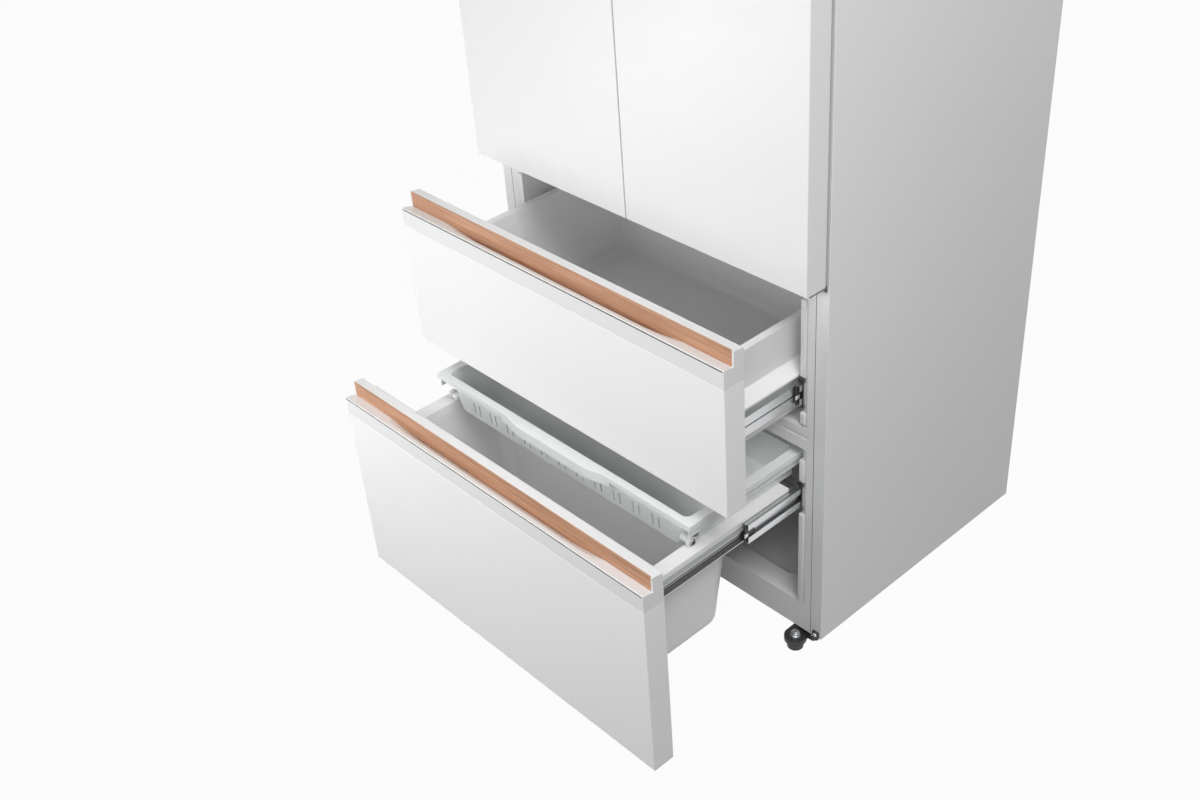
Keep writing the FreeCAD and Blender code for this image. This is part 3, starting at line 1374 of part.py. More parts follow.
def basket_tray():
    """Wide-rimmed tray with slots in its front wall, on two rollers and two long runners."""
    y = ("tray_front", "tray_back")
    rim_in = "tray_half - tray_rim"
    under = "tray_rim_top - tray_wall"
    skirt_low = "tray_rim_top - tray_skirt"
    deck = block("tray_deck", both("tray_half"), y, (under, "tray_rim_top"))
    skirt = cut("tray_skirt_ring", block("tray_skirt_outside", both("tray_half"), y,
                                         (skirt_low, "tray_rim_top")),
                [block("tray_skirt_inside", both("tray_half - tray_wall"),
                       ("tray_front + tray_wall", "tray_back - tray_wall"), (f"{skirt_low} - 1", under)),
                 block("tray_skirt_gap", both("wave_start"),
                       ("tray_front - 1", "tray_front + 2 * tray_wall"),
                       (f"{skirt_low} - 1", under))])
    wall_y = ("tray_front + tray_lip - tray_wall", "tray_back - tray_lip + tray_wall")
    tub = tapered("tray_tub", both(f"{rim_in} + tray_wall"), wall_y, ("tray_base", "tray_rim_top"),
                  both(f"{rim_in} - tray_draft + tray_wall"),
                  (f"{wall_y[0]} + tray_lean", f"{wall_y[1]} - tray_lean"))
    tub_soft = rounded_tub("tray_tub_soft", tub, "tray_round + tray_wall", "tray_rim_top")
    lid = "tray_rim_top + 1"
    hollow = tapered("tray_hollow", both(rim_in), (f"{wall_y[0]} + tray_wall", f"{wall_y[1]} - tray_wall"),
                     ("tray_base + tray_wall", lid), both(f"{rim_in} - tray_draft"),
                     (f"{wall_y[0]} + tray_lean + tray_wall", f"{wall_y[1]} - tray_lean - tray_wall"))
    hollow_soft = rounded_tub("tray_hollow_soft", hollow, "tray_round", lid)

    extras = grip_wave()
    roller_y = "tray_front + roller_setback"
    boss_end = "roller_offset - seal_play"
    tip = "roller_offset + roller_width + seal_play"
    for side, sign in (("right", 1), ("left", -1)):
        def along(low, high):
            return (low, high) if sign == 1 else (f"-({high})", f"-({low})")
        extras.append(rod("roller_boss_" + side, "x", "roller_radius - tray_wall",
                          along("roller_offset - roller_boss", boss_end), roller_y, "roller_level"))
        extras.append(rod("roller_pin_" + side, "x", "roller_pin", along(boss_end, tip), roller_y,
                          "roller_level"))
        extras.append(rod("roller_head_" + side, "x", "roller_pin + roller_head",
                          along(tip, f"{tip} + slide_wall"),
                          roller_y, "roller_level"))
        extras.append(block("runner_" + side, along("roller_offset - runner_width", "roller_offset"),
                            ("tray_front + runner_start", "tray_back - tray_lip"),
                            ("lower_rim_top + seal_play", under)))
        band = "tray_half - band_inset"
        extras.append(block("side_band_" + side, along(f"{band} - tray_wall", band),
                            ("tray_front + tray_wall", "tray_back"),
                            ("tray_rim_top - band_drop", under)))
    outside = fuse("tray_outside", [deck, skirt, tub_soft] + extras)
    node("basket_tray", cut("basket_tray", cut("tray_hollowed", outside, [hollow_soft]), [tray_slots()]))
    half = "roller_width / 2"
    for side, sign in (("right", 1), ("left", -1)):
        tread, hub = "roller_radius - roller_wall", "roller_pin + roller_wall"
        points = [("roller_pin + pin_play", f"-{half}"), ("roller_radius - roller_bevel", f"-{half}"),
                  ("roller_radius", f"roller_bevel - {half}"), ("roller_radius", f"{half} - roller_bevel"),
                  ("roller_radius - roller_bevel", half), (tread, half),
                  (f"{tread} - roller_bevel / 2", f"{half} - roller_bevel"),
                  (hub, f"{half} - roller_bevel"),
                  (f"{hub} - roller_bevel / 2", half), ("roller_pin + pin_play", half)]
        label = "tray_roller_" + side
        way = "" if sign == 1 else "-"
        node(label, turned(label, points, "x", f"{way}(roller_offset + {half})", roller_y, "roller_level"))


# Feet
def foot_bracket():
    """Pressed bracket under a front corner, with a skirted round end and an ear for its screw."""
    low = "plate_top - bracket_plate"
    across = ("foot_x - bracket_round", "foot_x + bracket_round")
    tongue = block("bracket_tongue", across, ("foot_y", "cab_face + tongue_back"), (low, "plate_top"))
    end = rod("bracket_end", "z", "bracket_round", "foot_x", "foot_y",
              ("plate_top - bracket_skirt", "plate_top"))
    dish = rod("bracket_dish", "z", "bracket_round - bracket_plate", "foot_x", "foot_y",
               ("plate_top - bracket_skirt - 1", low))
    riser = block("bracket_riser", across, ("cab_face + riser_start", "cab_face + tongue_back"),
                  (low, "cab_base"))
    ear_out = "half_width - ear_margin"
    ear_in = f"{ear_out} - ear_width"
    points = [("foot_x", low), (ear_in, low), (ear_out, "cab_base - ear_tip"),
              (ear_out, "cab_base + ear_rise"),
              (ear_in, "cab_base + ear_rise"), (ear_in, "cab_base - ear_tip"), ("foot_x", "plate_top")]
    arm = profile("bracket_arm", "y", points, "cab_face - bracket_plate", "cab_face")
    hole = rod("bracket_hole", "z", "foot_stud + pin_play", "foot_x", "foot_y",
               (f"{low} - 1", "plate_top + 1"))
    ear_hole = rod("bracket_ear_hole", "y", "pin_radius / 2", "half_width - ear_hole_inset",
                   ("cab_face - bracket_plate - 1", "cab_face + 1"), "cab_base + ear_hole_rise")
    solid = fuse("bracket_solid", [tongue, end, riser, arm])
    pair("foot_brackets", cut("foot_bracket", solid, [dish, hole, ear_hole]))


def levelling_foot(side, sign):
    """Fluted foot with its stud, held by a hexagon above the bracket."""
    label = "levelling_foot_" + side
    shelf = "plate_top + seal_play"
    points = [("0", "0"), ("foot_radius - foot_bevel", "0"), ("foot_radius", "foot_bevel"),
              ("foot_radius", "foot_height - foot_shoulder"),
              ("foot_radius - foot_shoulder", "foot_height"),
              ("foot_stud + foot_shoulder", "foot_height"), ("foot_stud", "foot_height + foot_shoulder"),
              ("foot_stud", shelf), ("0", shelf)]
    knob = turned(label + "_turned", points, "z", f"{sign} * foot_x", "foot_y", "0")
    flute = add_circle_pocket(knob, label + "_flute", "foot_radius + flute_out", "0", "flute_radius",
                              "foot_shoulder", "foot_height")
    ring = knob.newObject("PartDesign::PolarPattern", label + "_flutes")
    ring.Originals = [flute]
    ring.Axis = (flute.Profile[0], ["N_Axis"])
    ring.Angle = 360
    ring.Occurrences = 12
    knob.Tip = ring
    hexagon = doc.addObject("Part::Prism", label + "_hexagon")
    hexagon.Polygon = 6
    bind(hexagon, "Circumradius", "foot_stud + hexagon_reach")
    bind(hexagon, "Height", "hexagon_height")
    bind(hexagon, "Placement.Base.x", f"{sign} * foot_x")
    bind(hexagon, "Placement.Base.y", "foot_y")
    bind(hexagon, "Placement.Base.z", shelf)
    node(label, fuse(label, [knob, hexagon]))


def add_circle_pocket(body, name, across, up, radius, low, high):
    """A round pocket down from one height to another."""
    sketch = start_sketch(body, name + "_sketch", "XY_Plane", high)
    circle(sketch, across, up, radius)
    before = body.Shape.Volume
    pocket = body.newObject("PartDesign::Pocket", name)
    pocket.Profile = sketch
    bind(pocket, "Length", f"({high}) - ({low})")
    doc.recompute()
    if not body.Shape.Volume < before:
        raise RuntimeError(name + " cuts nothing")
    return pocket


outer_wrap()
back_panel()
base_pan()
for side_name, side_sign in (("left", -1), ("right", 1)):
    rear_roller(side_name, side_sign)
freezer_hollow = freezer_liner()
fresh_hollow = fresh_liner()
cabinet_foam([freezer_hollow, fresh_hollow])
mid_rail()
cross_plates()
compressor()
compressor_cover()
finned_block("condenser", ("condenser_offset", "condenser_offset + condenser_width"),
             ("engine_front + condenser_margin", "cab_back - condenser_margin"),
             ("engine_floor", "engine_floor + condenser_height"), 24)
condenser_fan()
finned_block("evaporator", both("coil_half"), ("inner_back - coil_depth", "inner_back"),
             ("step_top + coil_lift", "step_top + coil_lift + coil_height"), 30)
freezer_duct()
fresh_fittings()
crispers()
doors()
flipper_beam()
hinges()
for drawer in ("upper", "lower"):
    drawer_front(drawer)
    slides(drawer)
upper_bin()
lower_bin()
basket_tray()
foot_bracket()
for side_name, side_sign in (("left", -1), ("right", 1)):
    levelling_foot(side_name, side_sign)
doc.recompute()

for item in doc.Objects:
    if "Invalid" in item.State or "Error" in item.State:
        raise RuntimeError(f"{item.Label} did not compute: {item.State}")
for item in NODES:
    if item.Shape.isNull() or not item.Shape.isValid() or not item.Shape.Solids:
        raise RuntimeError(f"{item.Label} has no sound shape")

os.makedirs("parts", exist_ok=True)
for item in NODES:
    item.Shape.exportStep(f"parts/{item.Label}.step")
print(len(NODES), "nodes")
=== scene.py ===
# %% [markdown]
# A white refrigerator with two doors and two freezer drawers
#
# The solids come from the CAD model. This lesson lights them, photographs them from above the right-
# hand corner, and gives every piece its finish. Small pieces that are too fine for the CAD model are
# modelled here by hand.

# %% Load the CAD frame
import json
import math

import bpy
from mathutils import Matrix, Vector


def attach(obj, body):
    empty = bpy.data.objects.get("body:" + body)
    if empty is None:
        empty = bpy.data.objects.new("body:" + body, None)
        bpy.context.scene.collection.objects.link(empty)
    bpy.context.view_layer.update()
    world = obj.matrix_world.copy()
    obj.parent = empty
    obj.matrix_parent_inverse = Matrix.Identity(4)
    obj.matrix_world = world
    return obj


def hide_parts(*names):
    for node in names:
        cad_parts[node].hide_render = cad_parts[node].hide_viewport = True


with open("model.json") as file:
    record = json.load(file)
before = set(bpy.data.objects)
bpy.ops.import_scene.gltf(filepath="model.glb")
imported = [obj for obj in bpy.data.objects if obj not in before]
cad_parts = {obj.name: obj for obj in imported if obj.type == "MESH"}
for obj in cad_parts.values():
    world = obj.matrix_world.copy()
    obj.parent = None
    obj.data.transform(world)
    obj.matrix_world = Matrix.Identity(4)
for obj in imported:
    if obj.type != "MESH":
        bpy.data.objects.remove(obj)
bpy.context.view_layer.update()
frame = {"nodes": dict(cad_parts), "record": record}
scene = bpy.context.scene
print("nodes in the frame:", len(frame["nodes"]))

# %% [markdown]
# The camera stands above the right-hand front corner and looks down into the open drawers. A Track To
# constraint could aim it, but that keeps the picture level, and this view leans a little. So its three
# axes are written out: where its back, its right and its top point. A camera object looks along its own
# -Z, so these axes are the columns of its matrix.

# %% Camera
TURN = math.radians(50.05)
LIFT = math.radians(34.96)
LEAN = math.radians(-4.82)
CAMERA_PLACE = Vector((1.7094, -1.6611, 2.0441))
SENSOR_WIDTH = 36
LENS = 43.81
FAR_END = 60

back = Vector((math.sin(TURN) * math.cos(LIFT), -math.cos(TURN) * math.cos(LIFT), math.sin(LIFT)))
level_right = Vector((math.cos(TURN), math.sin(TURN), 0))
level_up = back.cross(level_right)
right = math.cos(LEAN) * level_right + math.sin(LEAN) * level_up
up = math.cos(LEAN) * level_up - math.sin(LEAN) * level_right

camera = bpy.data.objects.new("camera", bpy.data.cameras.new("camera"))
scene.collection.objects.link(camera)
camera.matrix_world = Matrix.Translation(CAMERA_PLACE) @ Matrix((right, up, back)).transposed().to_4x4()
camera.data.sensor_width = SENSOR_WIDTH
camera.data.lens = LENS
camera.data.clip_end = FAR_END
scene.camera = camera
print("camera at", [round(value, 3) for value in CAMERA_PLACE])

# %% [markdown]
# The studio is a pale floor under a white surround. Both look white to the camera, but they light the
# object at a plain level: Light Path tells camera, mirror and glass rays apart from the rays that carry
# light. One strength for all rays would be simpler, but it would flood the open drawers and wash their
# shadows out.

# %% Surround
scene.view_settings.view_transform = "Standard"
AMBIENT = 0.27
WHITE = (1, 1, 1, 1)

world = bpy.data.worlds.new("studio")
scene.world = world
world.use_nodes = True
sky = world.node_tree
rays = sky.nodes.new("ShaderNodeLightPath")
seen = sky.nodes.new("ShaderNodeMath")
seen.operation = "MAXIMUM"
seen_too = sky.nodes.new("ShaderNodeMath")
seen_too.operation = "MAXIMUM"
strength = sky.nodes.new("ShaderNodeMapRange")
strength.inputs["To Min"].default_value = AMBIENT
strength.inputs["To Max"].default_value = 1.0
surround = sky.nodes["Background"]
surround.inputs["Color"].default_value = WHITE
sky.links.new(rays.outputs["Is Camera Ray"], seen.inputs[0])
sky.links.new(rays.outputs["Is Glossy Ray"], seen.inputs[1])
sky.links.new(seen.outputs[0], seen_too.inputs[0])
sky.links.new(rays.outputs["Is Transmission Ray"], seen_too.inputs[1])
sky.links.new(seen_too.outputs[0], strength.inputs["Value"])
sky.links.new(strength.outputs[0], surround.inputs["Strength"])
print("surround lights at", AMBIENT)

# %% [markdown]
# The floor keeps a trace of the object's shadow. Most of what the camera sees of it, straight or
# mirrored in the object, is plain white light. The rest is a matt paint that takes the shadow and
# throws little light back up. White paint alone would turn grey in the picture and brighten the
# undersides.

# %% Floor
FLOOR_SIZE = 16.0
FLOOR_GLOW = 0.965
FLOOR_PAINT = 0.15
FLOOR_ROUGHNESS = 0.9

bpy.ops.object.select_all(action="DESELECT")
bpy.ops.mesh.primitive_plane_add(size=FLOOR_SIZE)
floor = bpy.context.object
floor.name = "studio_floor"
paper = bpy.data.materials.new("studio_paper")
paper.use_nodes = True
tree = paper.node_tree
matt = tree.nodes["Principled BSDF"]
matt.inputs["Base Color"].default_value = (FLOOR_PAINT, FLOOR_PAINT, FLOOR_PAINT, 1)
matt.inputs["Roughness"].default_value = FLOOR_ROUGHNESS
glow = tree.nodes.new("ShaderNodeEmission")
rays = tree.nodes.new("ShaderNodeLightPath")
seen = tree.nodes.new("ShaderNodeMath")
seen.operation = "MAXIMUM"
share = tree.nodes.new("ShaderNodeMath")
share.operation = "MULTIPLY"
share.inputs[1].default_value = FLOOR_GLOW
blend = tree.nodes.new("ShaderNodeMixShader")
tree.links.new(rays.outputs["Is Camera Ray"], seen.inputs[0])
tree.links.new(rays.outputs["Is Glossy Ray"], seen.inputs[1])
tree.links.new(seen.outputs[0], share.inputs[0])
tree.links.new(share.outputs[0], blend.inputs["Fac"])
tree.links.new(matt.outputs[0], blend.inputs[1])
tree.links.new(glow.outputs[0], blend.inputs[2])
tree.links.new(blend.outputs[0], tree.nodes["Material Output"].inputs["Surface"])
floor.data.materials.append(paper)
print("floor", FLOOR_SIZE, "m across")

# %% [markdown]
# Four soft lamps. One in front lights the fronts, which fall off towards the lower right, and a weaker
# one low on the left lifts that corner of both drawers. A large one high on the right lights the caps
# and shines down into the open drawers. A small one in front of the right-hand edge reaches the
# cabinet's face beside the drawers. It stands clear of the open door, which it would burn out from
# nearer. Point lamps would do the same with hard shadows, so all four are areas.

# %% Lamps
def soft_lamp(name, place, aim, size, power):
    """A square area lamp that points at a place."""
    lamp = bpy.data.objects.new(name, bpy.data.lights.new(name, "AREA"))
    scene.collection.objects.link(lamp)
    lamp.location = place
    lamp.rotation_euler = (Vector(aim) - Vector(place)).to_track_quat("-Z", "Y").to_euler()
    lamp.data.size = size
    lamp.data.energy = power


soft_lamp("front_lamp", place=(-0.36, -1.6, 1.22), aim=(-0.1, -0.3, 0.7), size=0.7, power=9.7)
soft_lamp("low_lamp", place=(-0.9, -1.3, 0.6), aim=(-0.3, -0.4, 0.45), size=0.5, power=5.0)
soft_lamp("high_lamp", place=(2.27, -0.91, 3.87), aim=(0.1, -0.2, 0.6), size=1.8, power=88)
soft_lamp("edge_lamp", place=(0.92, -1.14, 1.24), aim=(0.4, -0.1, 0.72), size=0.5, power=3.6)

# %% [markdown]
# Shared effects
#
# Several finishes vary in the same way, so each effect is a node group, built once and placed in every
# material that needs it. First some small helpers: they put a node into a tree with its settings, make
# a group with named sockets, and do sums between sockets.

# %% Helpers for node trees
COLOUR = "NodeSocketColor"
NUMBER = "NodeSocketFloat"


def put(tree, kind, **values):
    """A new node, with values for its inputs by name."""
    node = tree.nodes.new(kind)
    for label, number in values.items():
        node.inputs[label.replace("_", " ")].default_value = number
    return node


def effect(name, numbers, colours, results):
    """An empty node group with named number and colour inputs, and named results."""
    group = bpy.data.node_groups.new(name, "ShaderNodeTree")
    for kind, inputs in ((NUMBER, numbers), (COLOUR, colours)):
        for label, start in inputs.items():
            socket = group.interface.new_socket(label, in_out="INPUT", socket_type=kind)
            socket.default_value = start
    for label, kind in results.items():
        group.interface.new_socket(label, in_out="OUTPUT", socket_type=kind)
    return group, put(group, "NodeGroupInput"), put(group, "NodeGroupOutput")


def math_node(tree, operation, first, second):
    """A math node between sockets or numbers."""
    node = put(tree, "ShaderNodeMath")
    node.operation = operation
    for index, term in enumerate((first, second)):
        if isinstance(term, (int, float)):
            node.inputs[index].default_value = term
        else:
            tree.links.new(term, node.inputs[index])
    return node.outputs[0]


print("node helpers ready")

# %% [markdown]
# All the effects are noise laid over the object. It is read from the object's own coordinates, in
# metres, so that the pattern stays put when a drawer slides. A Mapping node stretches it along an axis.
# A painted image would need a UV map on every solid, and noise needs none.

# %% Helpers for patterns
NOISE_MEAN = 0.5


def place_on(tree, stretch=(1, 1, 1)):
    """The place on the object in metres, stretched along its axes."""
    coordinates = put(tree, "ShaderNodeTexCoord")
    mapping = put(tree, "ShaderNodeMapping", Scale=stretch)
    tree.links.new(coordinates.outputs["Object"], mapping.inputs["Vector"])
    return mapping.outputs["Vector"]


def noise(tree, place, scale, detail):
    """Cloudy noise at a place; its scale is a socket or a number."""
    node = put(tree, "ShaderNodeTexNoise", Detail=detail)
    tree.links.new(place, node.inputs["Vector"])
    if isinstance(scale, (int, float)):
        node.inputs["Scale"].default_value = scale
    else:
        tree.links.new(scale, node.inputs["Scale"])
    return node.outputs["Fac"]


def shade(tree, colour, factor):
    """A colour made lighter or darker by a factor that varies."""
    node = put(tree, "ShaderNodeVectorMath")
    node.operation = "SCALE"
    tree.links.new(colour, node.inputs[0])
    tree.links.new(factor, node.inputs["Scale"])
    return node.outputs[0]


print("pattern helpers ready")

# %% [markdown]
# Moulded and painted surfaces are never one flat tone. Broad clouds shift the tone by a few percent,
# finer ones shift the gloss, and a fine grain gives the bump of the mould or the orange peel of the
# paint. One effect serves plastic, rubber and paint, because they differ only in how strong each part
# is.

# %% Effect for moulded and painted surfaces
CLOUD_SCALE, CLOUD_DETAIL = 3.5, 4
WIPE_STRETCH, WIPE_DETAIL = (9, 9, 26), 5
GRAIN_DETAIL = 2

moulded_skin, given, result = effect(
    "moulded_skin",
    {"Tone spread": 0.03, "Gloss": 0.4, "Gloss spread": 0.1, "Grain size": 700.0},
    {"Colour": (0.8, 0.8, 0.8, 1)},
    {"Colour": COLOUR, "Roughness": NUMBER, "Height": NUMBER})
spot = place_on(moulded_skin)
clouds = noise(moulded_skin, spot, CLOUD_SCALE, CLOUD_DETAIL)
swing = math_node(moulded_skin, "SUBTRACT", clouds, NOISE_MEAN)
tone = math_node(moulded_skin, "MULTIPLY", swing, given.outputs["Tone spread"])
factor = math_node(moulded_skin, "ADD", tone, 1.0)
moulded_skin.links.new(shade(moulded_skin, given.outputs["Colour"], factor), result.inputs["Colour"])
wipes = noise(moulded_skin, place_on(moulded_skin, WIPE_STRETCH), 1.0, WIPE_DETAIL)
swing = math_node(moulded_skin, "SUBTRACT", wipes, NOISE_MEAN)
dull = math_node(moulded_skin, "MULTIPLY", swing, given.outputs["Gloss spread"])
roughness = math_node(moulded_skin, "ADD", dull, given.outputs["Gloss"])
moulded_skin.links.new(roughness, result.inputs["Roughness"])
grain = noise(moulded_skin, spot, given.outputs["Grain size"], GRAIN_DETAIL)
moulded_skin.links.new(grain, result.inputs["Height"])
print("effect", moulded_skin.name)

# %% [markdown]
# Rolled steel shows fine lines along the way it was drawn. On this object the slides run front to back,
# so the noise is squeezed across and stretched along Y. An anisotropic shader would smear the
# highlights in the same way, but it draws no lines, and these are seen from near.

# %% Effect for drawn steel
LINE_STRETCH, LINE_DETAIL = (700, 3, 700), 2

drawn_steel, given, result = effect(
    "drawn_steel",
    {"Line spread": 0.12, "Gloss": 0.32, "Gloss spread": 0.12},
    {"Colour": (0.6, 0.6, 0.6, 1)},
    {"Colour": COLOUR, "Roughness": NUMBER, "Height": NUMBER})
lines = noise(drawn_steel, place_on(drawn_steel, LINE_STRETCH), 1.0, LINE_DETAIL)
swing = math_node(drawn_steel, "SUBTRACT", lines, NOISE_MEAN)
tone = math_node(drawn_steel, "MULTIPLY", swing, given.outputs["Line spread"])
factor = math_node(drawn_steel, "ADD", tone, 1.0)
drawn_steel.links.new(shade(drawn_steel, given.outputs["Colour"], factor), result.inputs["Colour"])
dull = math_node(drawn_steel, "MULTIPLY", swing, given.outputs["Gloss spread"])
roughness = math_node(drawn_steel, "ADD", dull, given.outputs["Gloss"])
drawn_steel.links.new(roughness, result.inputs["Roughness"])
drawn_steel.links.new(lines, result.inputs["Height"])
print("effect", drawn_steel.name)

# %% [markdown]
# Oak has broad growth bands and short dark pores, both stretched along the strip. The bands choose the
# colour between early and late wood, and the pores darken it and press into the surface. A Wave texture
# would give bands that are too even, so noise is folded back and forth instead. A Mix node has a set of
# sockets for each kind of data, so those for colours are named by number.

# %% Effect for oak
BAND_STRETCH, BAND_DETAIL, BAND_COUNT, BAND_SHARE = (2.2, 60, 60), 3, 7.0, 0.25
FIBRE_STRETCH, FIBRE_DETAIL, FIBRE_SHARE = (7, 230, 230), 5, 0.6
FIBRE_FROM, FIBRE_TO = 0.36, 0.64
PORE_STRETCH, PORE_DETAIL, PORE_DEPTH = (26, 900, 900), 2, 0.35
PORE_FROM, PORE_TO = 0.56, 0.70
OAK_ROUGHNESS, OAK_ROUGHNESS_SWING = 0.42, 0.15
MIX_FIRST, MIX_SECOND, MIX_RESULT = 6, 7, 2

oak_grain, given, result = effect(
    "oak_grain",
    {"Pore depth": PORE_DEPTH},
    {"Early wood": (0.54, 0.285, 0.165, 1), "Late wood": (0.33, 0.15, 0.078, 1)},
    {"Colour": COLOUR, "Roughness": NUMBER, "Height": NUMBER})
waves = noise(oak_grain, place_on(oak_grain, BAND_STRETCH), 1.0, BAND_DETAIL)
fibres = put(oak_grain, "ShaderNodeMapRange", From_Min=FIBRE_FROM, From_Max=FIBRE_TO)
oak_grain.links.new(noise(oak_grain, place_on(oak_grain, FIBRE_STRETCH), 1.0, FIBRE_DETAIL),
                    fibres.inputs["Value"])
bands = math_node(oak_grain, "PINGPONG", math_node(oak_grain, "MULTIPLY", waves, BAND_COUNT), 1.0)
mixed = math_node(oak_grain, "ADD", math_node(oak_grain, "MULTIPLY", bands, BAND_SHARE),
                  math_node(oak_grain, "MULTIPLY", fibres.outputs[0], FIBRE_SHARE))
wood = put(oak_grain, "ShaderNodeMix")
wood.data_type = "RGBA"
oak_grain.links.new(mixed, wood.inputs["Factor"])
oak_grain.links.new(given.outputs["Early wood"], wood.inputs[MIX_FIRST])
oak_grain.links.new(given.outputs["Late wood"], wood.inputs[MIX_SECOND])
pores = put(oak_grain, "ShaderNodeMapRange", From_Min=PORE_FROM, From_Max=PORE_TO)
oak_grain.links.new(noise(oak_grain, place_on(oak_grain, PORE_STRETCH), 1.0, PORE_DETAIL),
                    pores.inputs["Value"])
dark = math_node(oak_grain, "SUBTRACT", 1.0,
                 math_node(oak_grain, "MULTIPLY", pores.outputs[0], given.outputs["Pore depth"]))
oak_grain.links.new(shade(oak_grain, wood.outputs[MIX_RESULT], dark), result.inputs["Colour"])
dull = math_node(oak_grain, "MULTIPLY", mixed, OAK_ROUGHNESS_SWING)
oak_grain.links.new(math_node(oak_grain, "ADD", OAK_ROUGHNESS, dull), result.inputs["Roughness"])
oak_grain.links.new(dark, result.inputs["Height"])
print("effect", oak_grain.name)

# %% [markdown]
# Finishes
#
# Each finish is a Principled shader fed by one of the effects. What is the same all over, such as how
# metallic it is, is set on the shader itself. One maker does the wiring, and two short ones that call
# it know what a moulded surface and a bare metal need.

# %% Makers of finishes
STEEL_BUMP = 0.00002


def finish_from(name, group, inputs, bump_depth):
    """A material whose colour, roughness and bump come from an effect."""
    material = bpy.data.materials.new(name)
    material.use_nodes = True
    tree = material.node_tree
    shader = tree.nodes["Principled BSDF"]
    source = tree.nodes.new("ShaderNodeGroup")
    source.node_tree = group
    for label, number in inputs.items():
        source.inputs[label].default_value = number
    bump = put(tree, "ShaderNodeBump", Distance=bump_depth)
    tree.links.new(source.outputs["Colour"], shader.inputs["Base Color"])
    tree.links.new(source.outputs["Roughness"], shader.inputs["Roughness"])
    tree.links.new(source.outputs["Height"], bump.inputs["Height"])
    tree.links.new(bump.outputs[0], shader.inputs["Normal"])
    return material, shader


def moulded(name, colour, gloss, grain, depth, spread):
    """A plastic, rubber, paint or glass with its own colour and grain."""
    inputs = {"Colour": (*colour, 1), "Gloss": gloss, "Grain size": grain, "Tone spread": spread}
    return finish_from(name, moulded_skin, inputs, depth)


def steel(name, colour, gloss):
    """A bare metal with drawn lines."""
    inputs = {"Colour": (*colour, 1), "Gloss": gloss}
    material, shader = finish_from(name, drawn_steel, inputs, STEEL_BUMP)
    shader.inputs["Metallic"].default_value = 1.0
    return material


FINISHES = {}
print("makers ready")

# %% [markdown]
# The whites of the object differ slightly: coated fronts, powder-coated sheet, moulded caps,
# thermoformed liners and bins. Each gets its own colour, gloss, grain and depth of bump. The bins and
# the tray are thin enough for light to spread inside their walls. The gaskets' rubber and the
# insulating foam are made in the same way.

# %% White finishes
WHITES = {
    "front_white": ((0.83, 0.83, 0.825), 0.36, 500.0, 0.000012),
    "cap_white": ((0.73, 0.73, 0.727), 0.42, 1400.0, 0.00002),
    "cabinet_paint": ((0.83, 0.835, 0.835), 0.45, 700.0, 0.00003),
    "liner_white": ((0.81, 0.815, 0.81), 0.35, 300.0, 0.00002),
    "rail_white": ((0.79, 0.795, 0.79), 0.42, 1100.0, 0.00002),
    "bin_white": ((0.88, 0.885, 0.88), 0.32, 800.0, 0.00002),
    "tray_white": ((0.79, 0.81, 0.805), 0.34, 900.0, 0.00002),
    "roller_white": ((0.78, 0.78, 0.77), 0.4, 1500.0, 0.00002),
    "lamp_white": ((0.88, 0.88, 0.86), 0.5, 1200.0, 0.00003),
    "gasket_grey": ((0.70, 0.71, 0.71), 0.6, 1200.0, 0.00004),
    "insulation": ((0.78, 0.70, 0.42), 0.85, 260.0, 0.0005),
}
WHITE_SPREAD = 0.03
THIN_WALLED = ("bin_white", "tray_white")
INNER_LIGHT = {"Weight": 0.15, "Radius": (0.006, 0.006, 0.005), "Scale": 0.5}

for name, (colour, gloss, grain, depth) in WHITES.items():
    FINISHES[name], shader = moulded(name, colour, gloss, grain, depth, WHITE_SPREAD)
    if name in THIN_WALLED:
        for label, value in INNER_LIGHT.items():
            shader.inputs[f"Subsurface {label}"].default_value = value
print("white finishes:", len(WHITES))

# %% [markdown]
# The dark finishes are for the trim lines, the feet and their brackets, the black plastic of the slides,
# the wheels and the compressor's enamel. Their tone varies more, because a few percent would not show
# on black.

# %% Dark finishes
DARKS = {
    "trim_dark": ((0.035, 0.036, 0.038), 0.4, 1500.0, 0.00001),
    "foot_grey": ((0.055, 0.055, 0.058), 0.35, 1300.0, 0.00004),
    "bracket_black": ((0.03, 0.03, 0.032), 0.42, 900.0, 0.00003),
    "wheel_dark": ((0.035, 0.035, 0.035), 0.55, 1200.0, 0.00004),
    "compressor_black": ((0.02, 0.02, 0.021), 0.3, 600.0, 0.00003),
}
DARK_SPREAD = 0.2

for name, (colour, gloss, grain, depth) in DARKS.items():
    FINISHES[name] = moulded(name, colour, gloss, grain, depth, DARK_SPREAD)[0]
print("dark finishes:", len(DARKS))

# %% [markdown]
# Bare metals: bright zinc on the slides and screws, dark steel on the hinges and on the grooved rail faces
# of the lower drawer, a duller galvanised sheet behind, and aluminium fins. On the rail faces the dark
# steel is painted shade from the drawer above, because the real rail is the slides' bright steel. A metal
# shows what it mirrors, so a colour and a gloss are all that tell one from another.

# %% Metal finishes
METALS = {
    "slide_steel": ((0.66, 0.67, 0.68), 0.33),
    # The hinges' dark steel. On the grooved rail faces the same dark tone is painted shade from the drawer
    # above.
    "bracket_steel": ((0.17, 0.17, 0.175), 0.38),
    "zinc_sheet": ((0.60, 0.61, 0.62), 0.45),
    "coil_aluminium": ((0.72, 0.73, 0.74), 0.35),
}
for name, (colour, gloss) in METALS.items():
    FINISHES[name] = steel(name, colour, gloss)
print("metal finishes:", len(METALS))

# %% [markdown]
# The oak strips have a clear satin coat, a second layer that the Principled shader lays over the wood.
# Shelf glass and crispers let light through. A Glass shader would do that too, but Transmission on the
# Principled shader keeps them in line with the other finishes, and their gloss still varies.

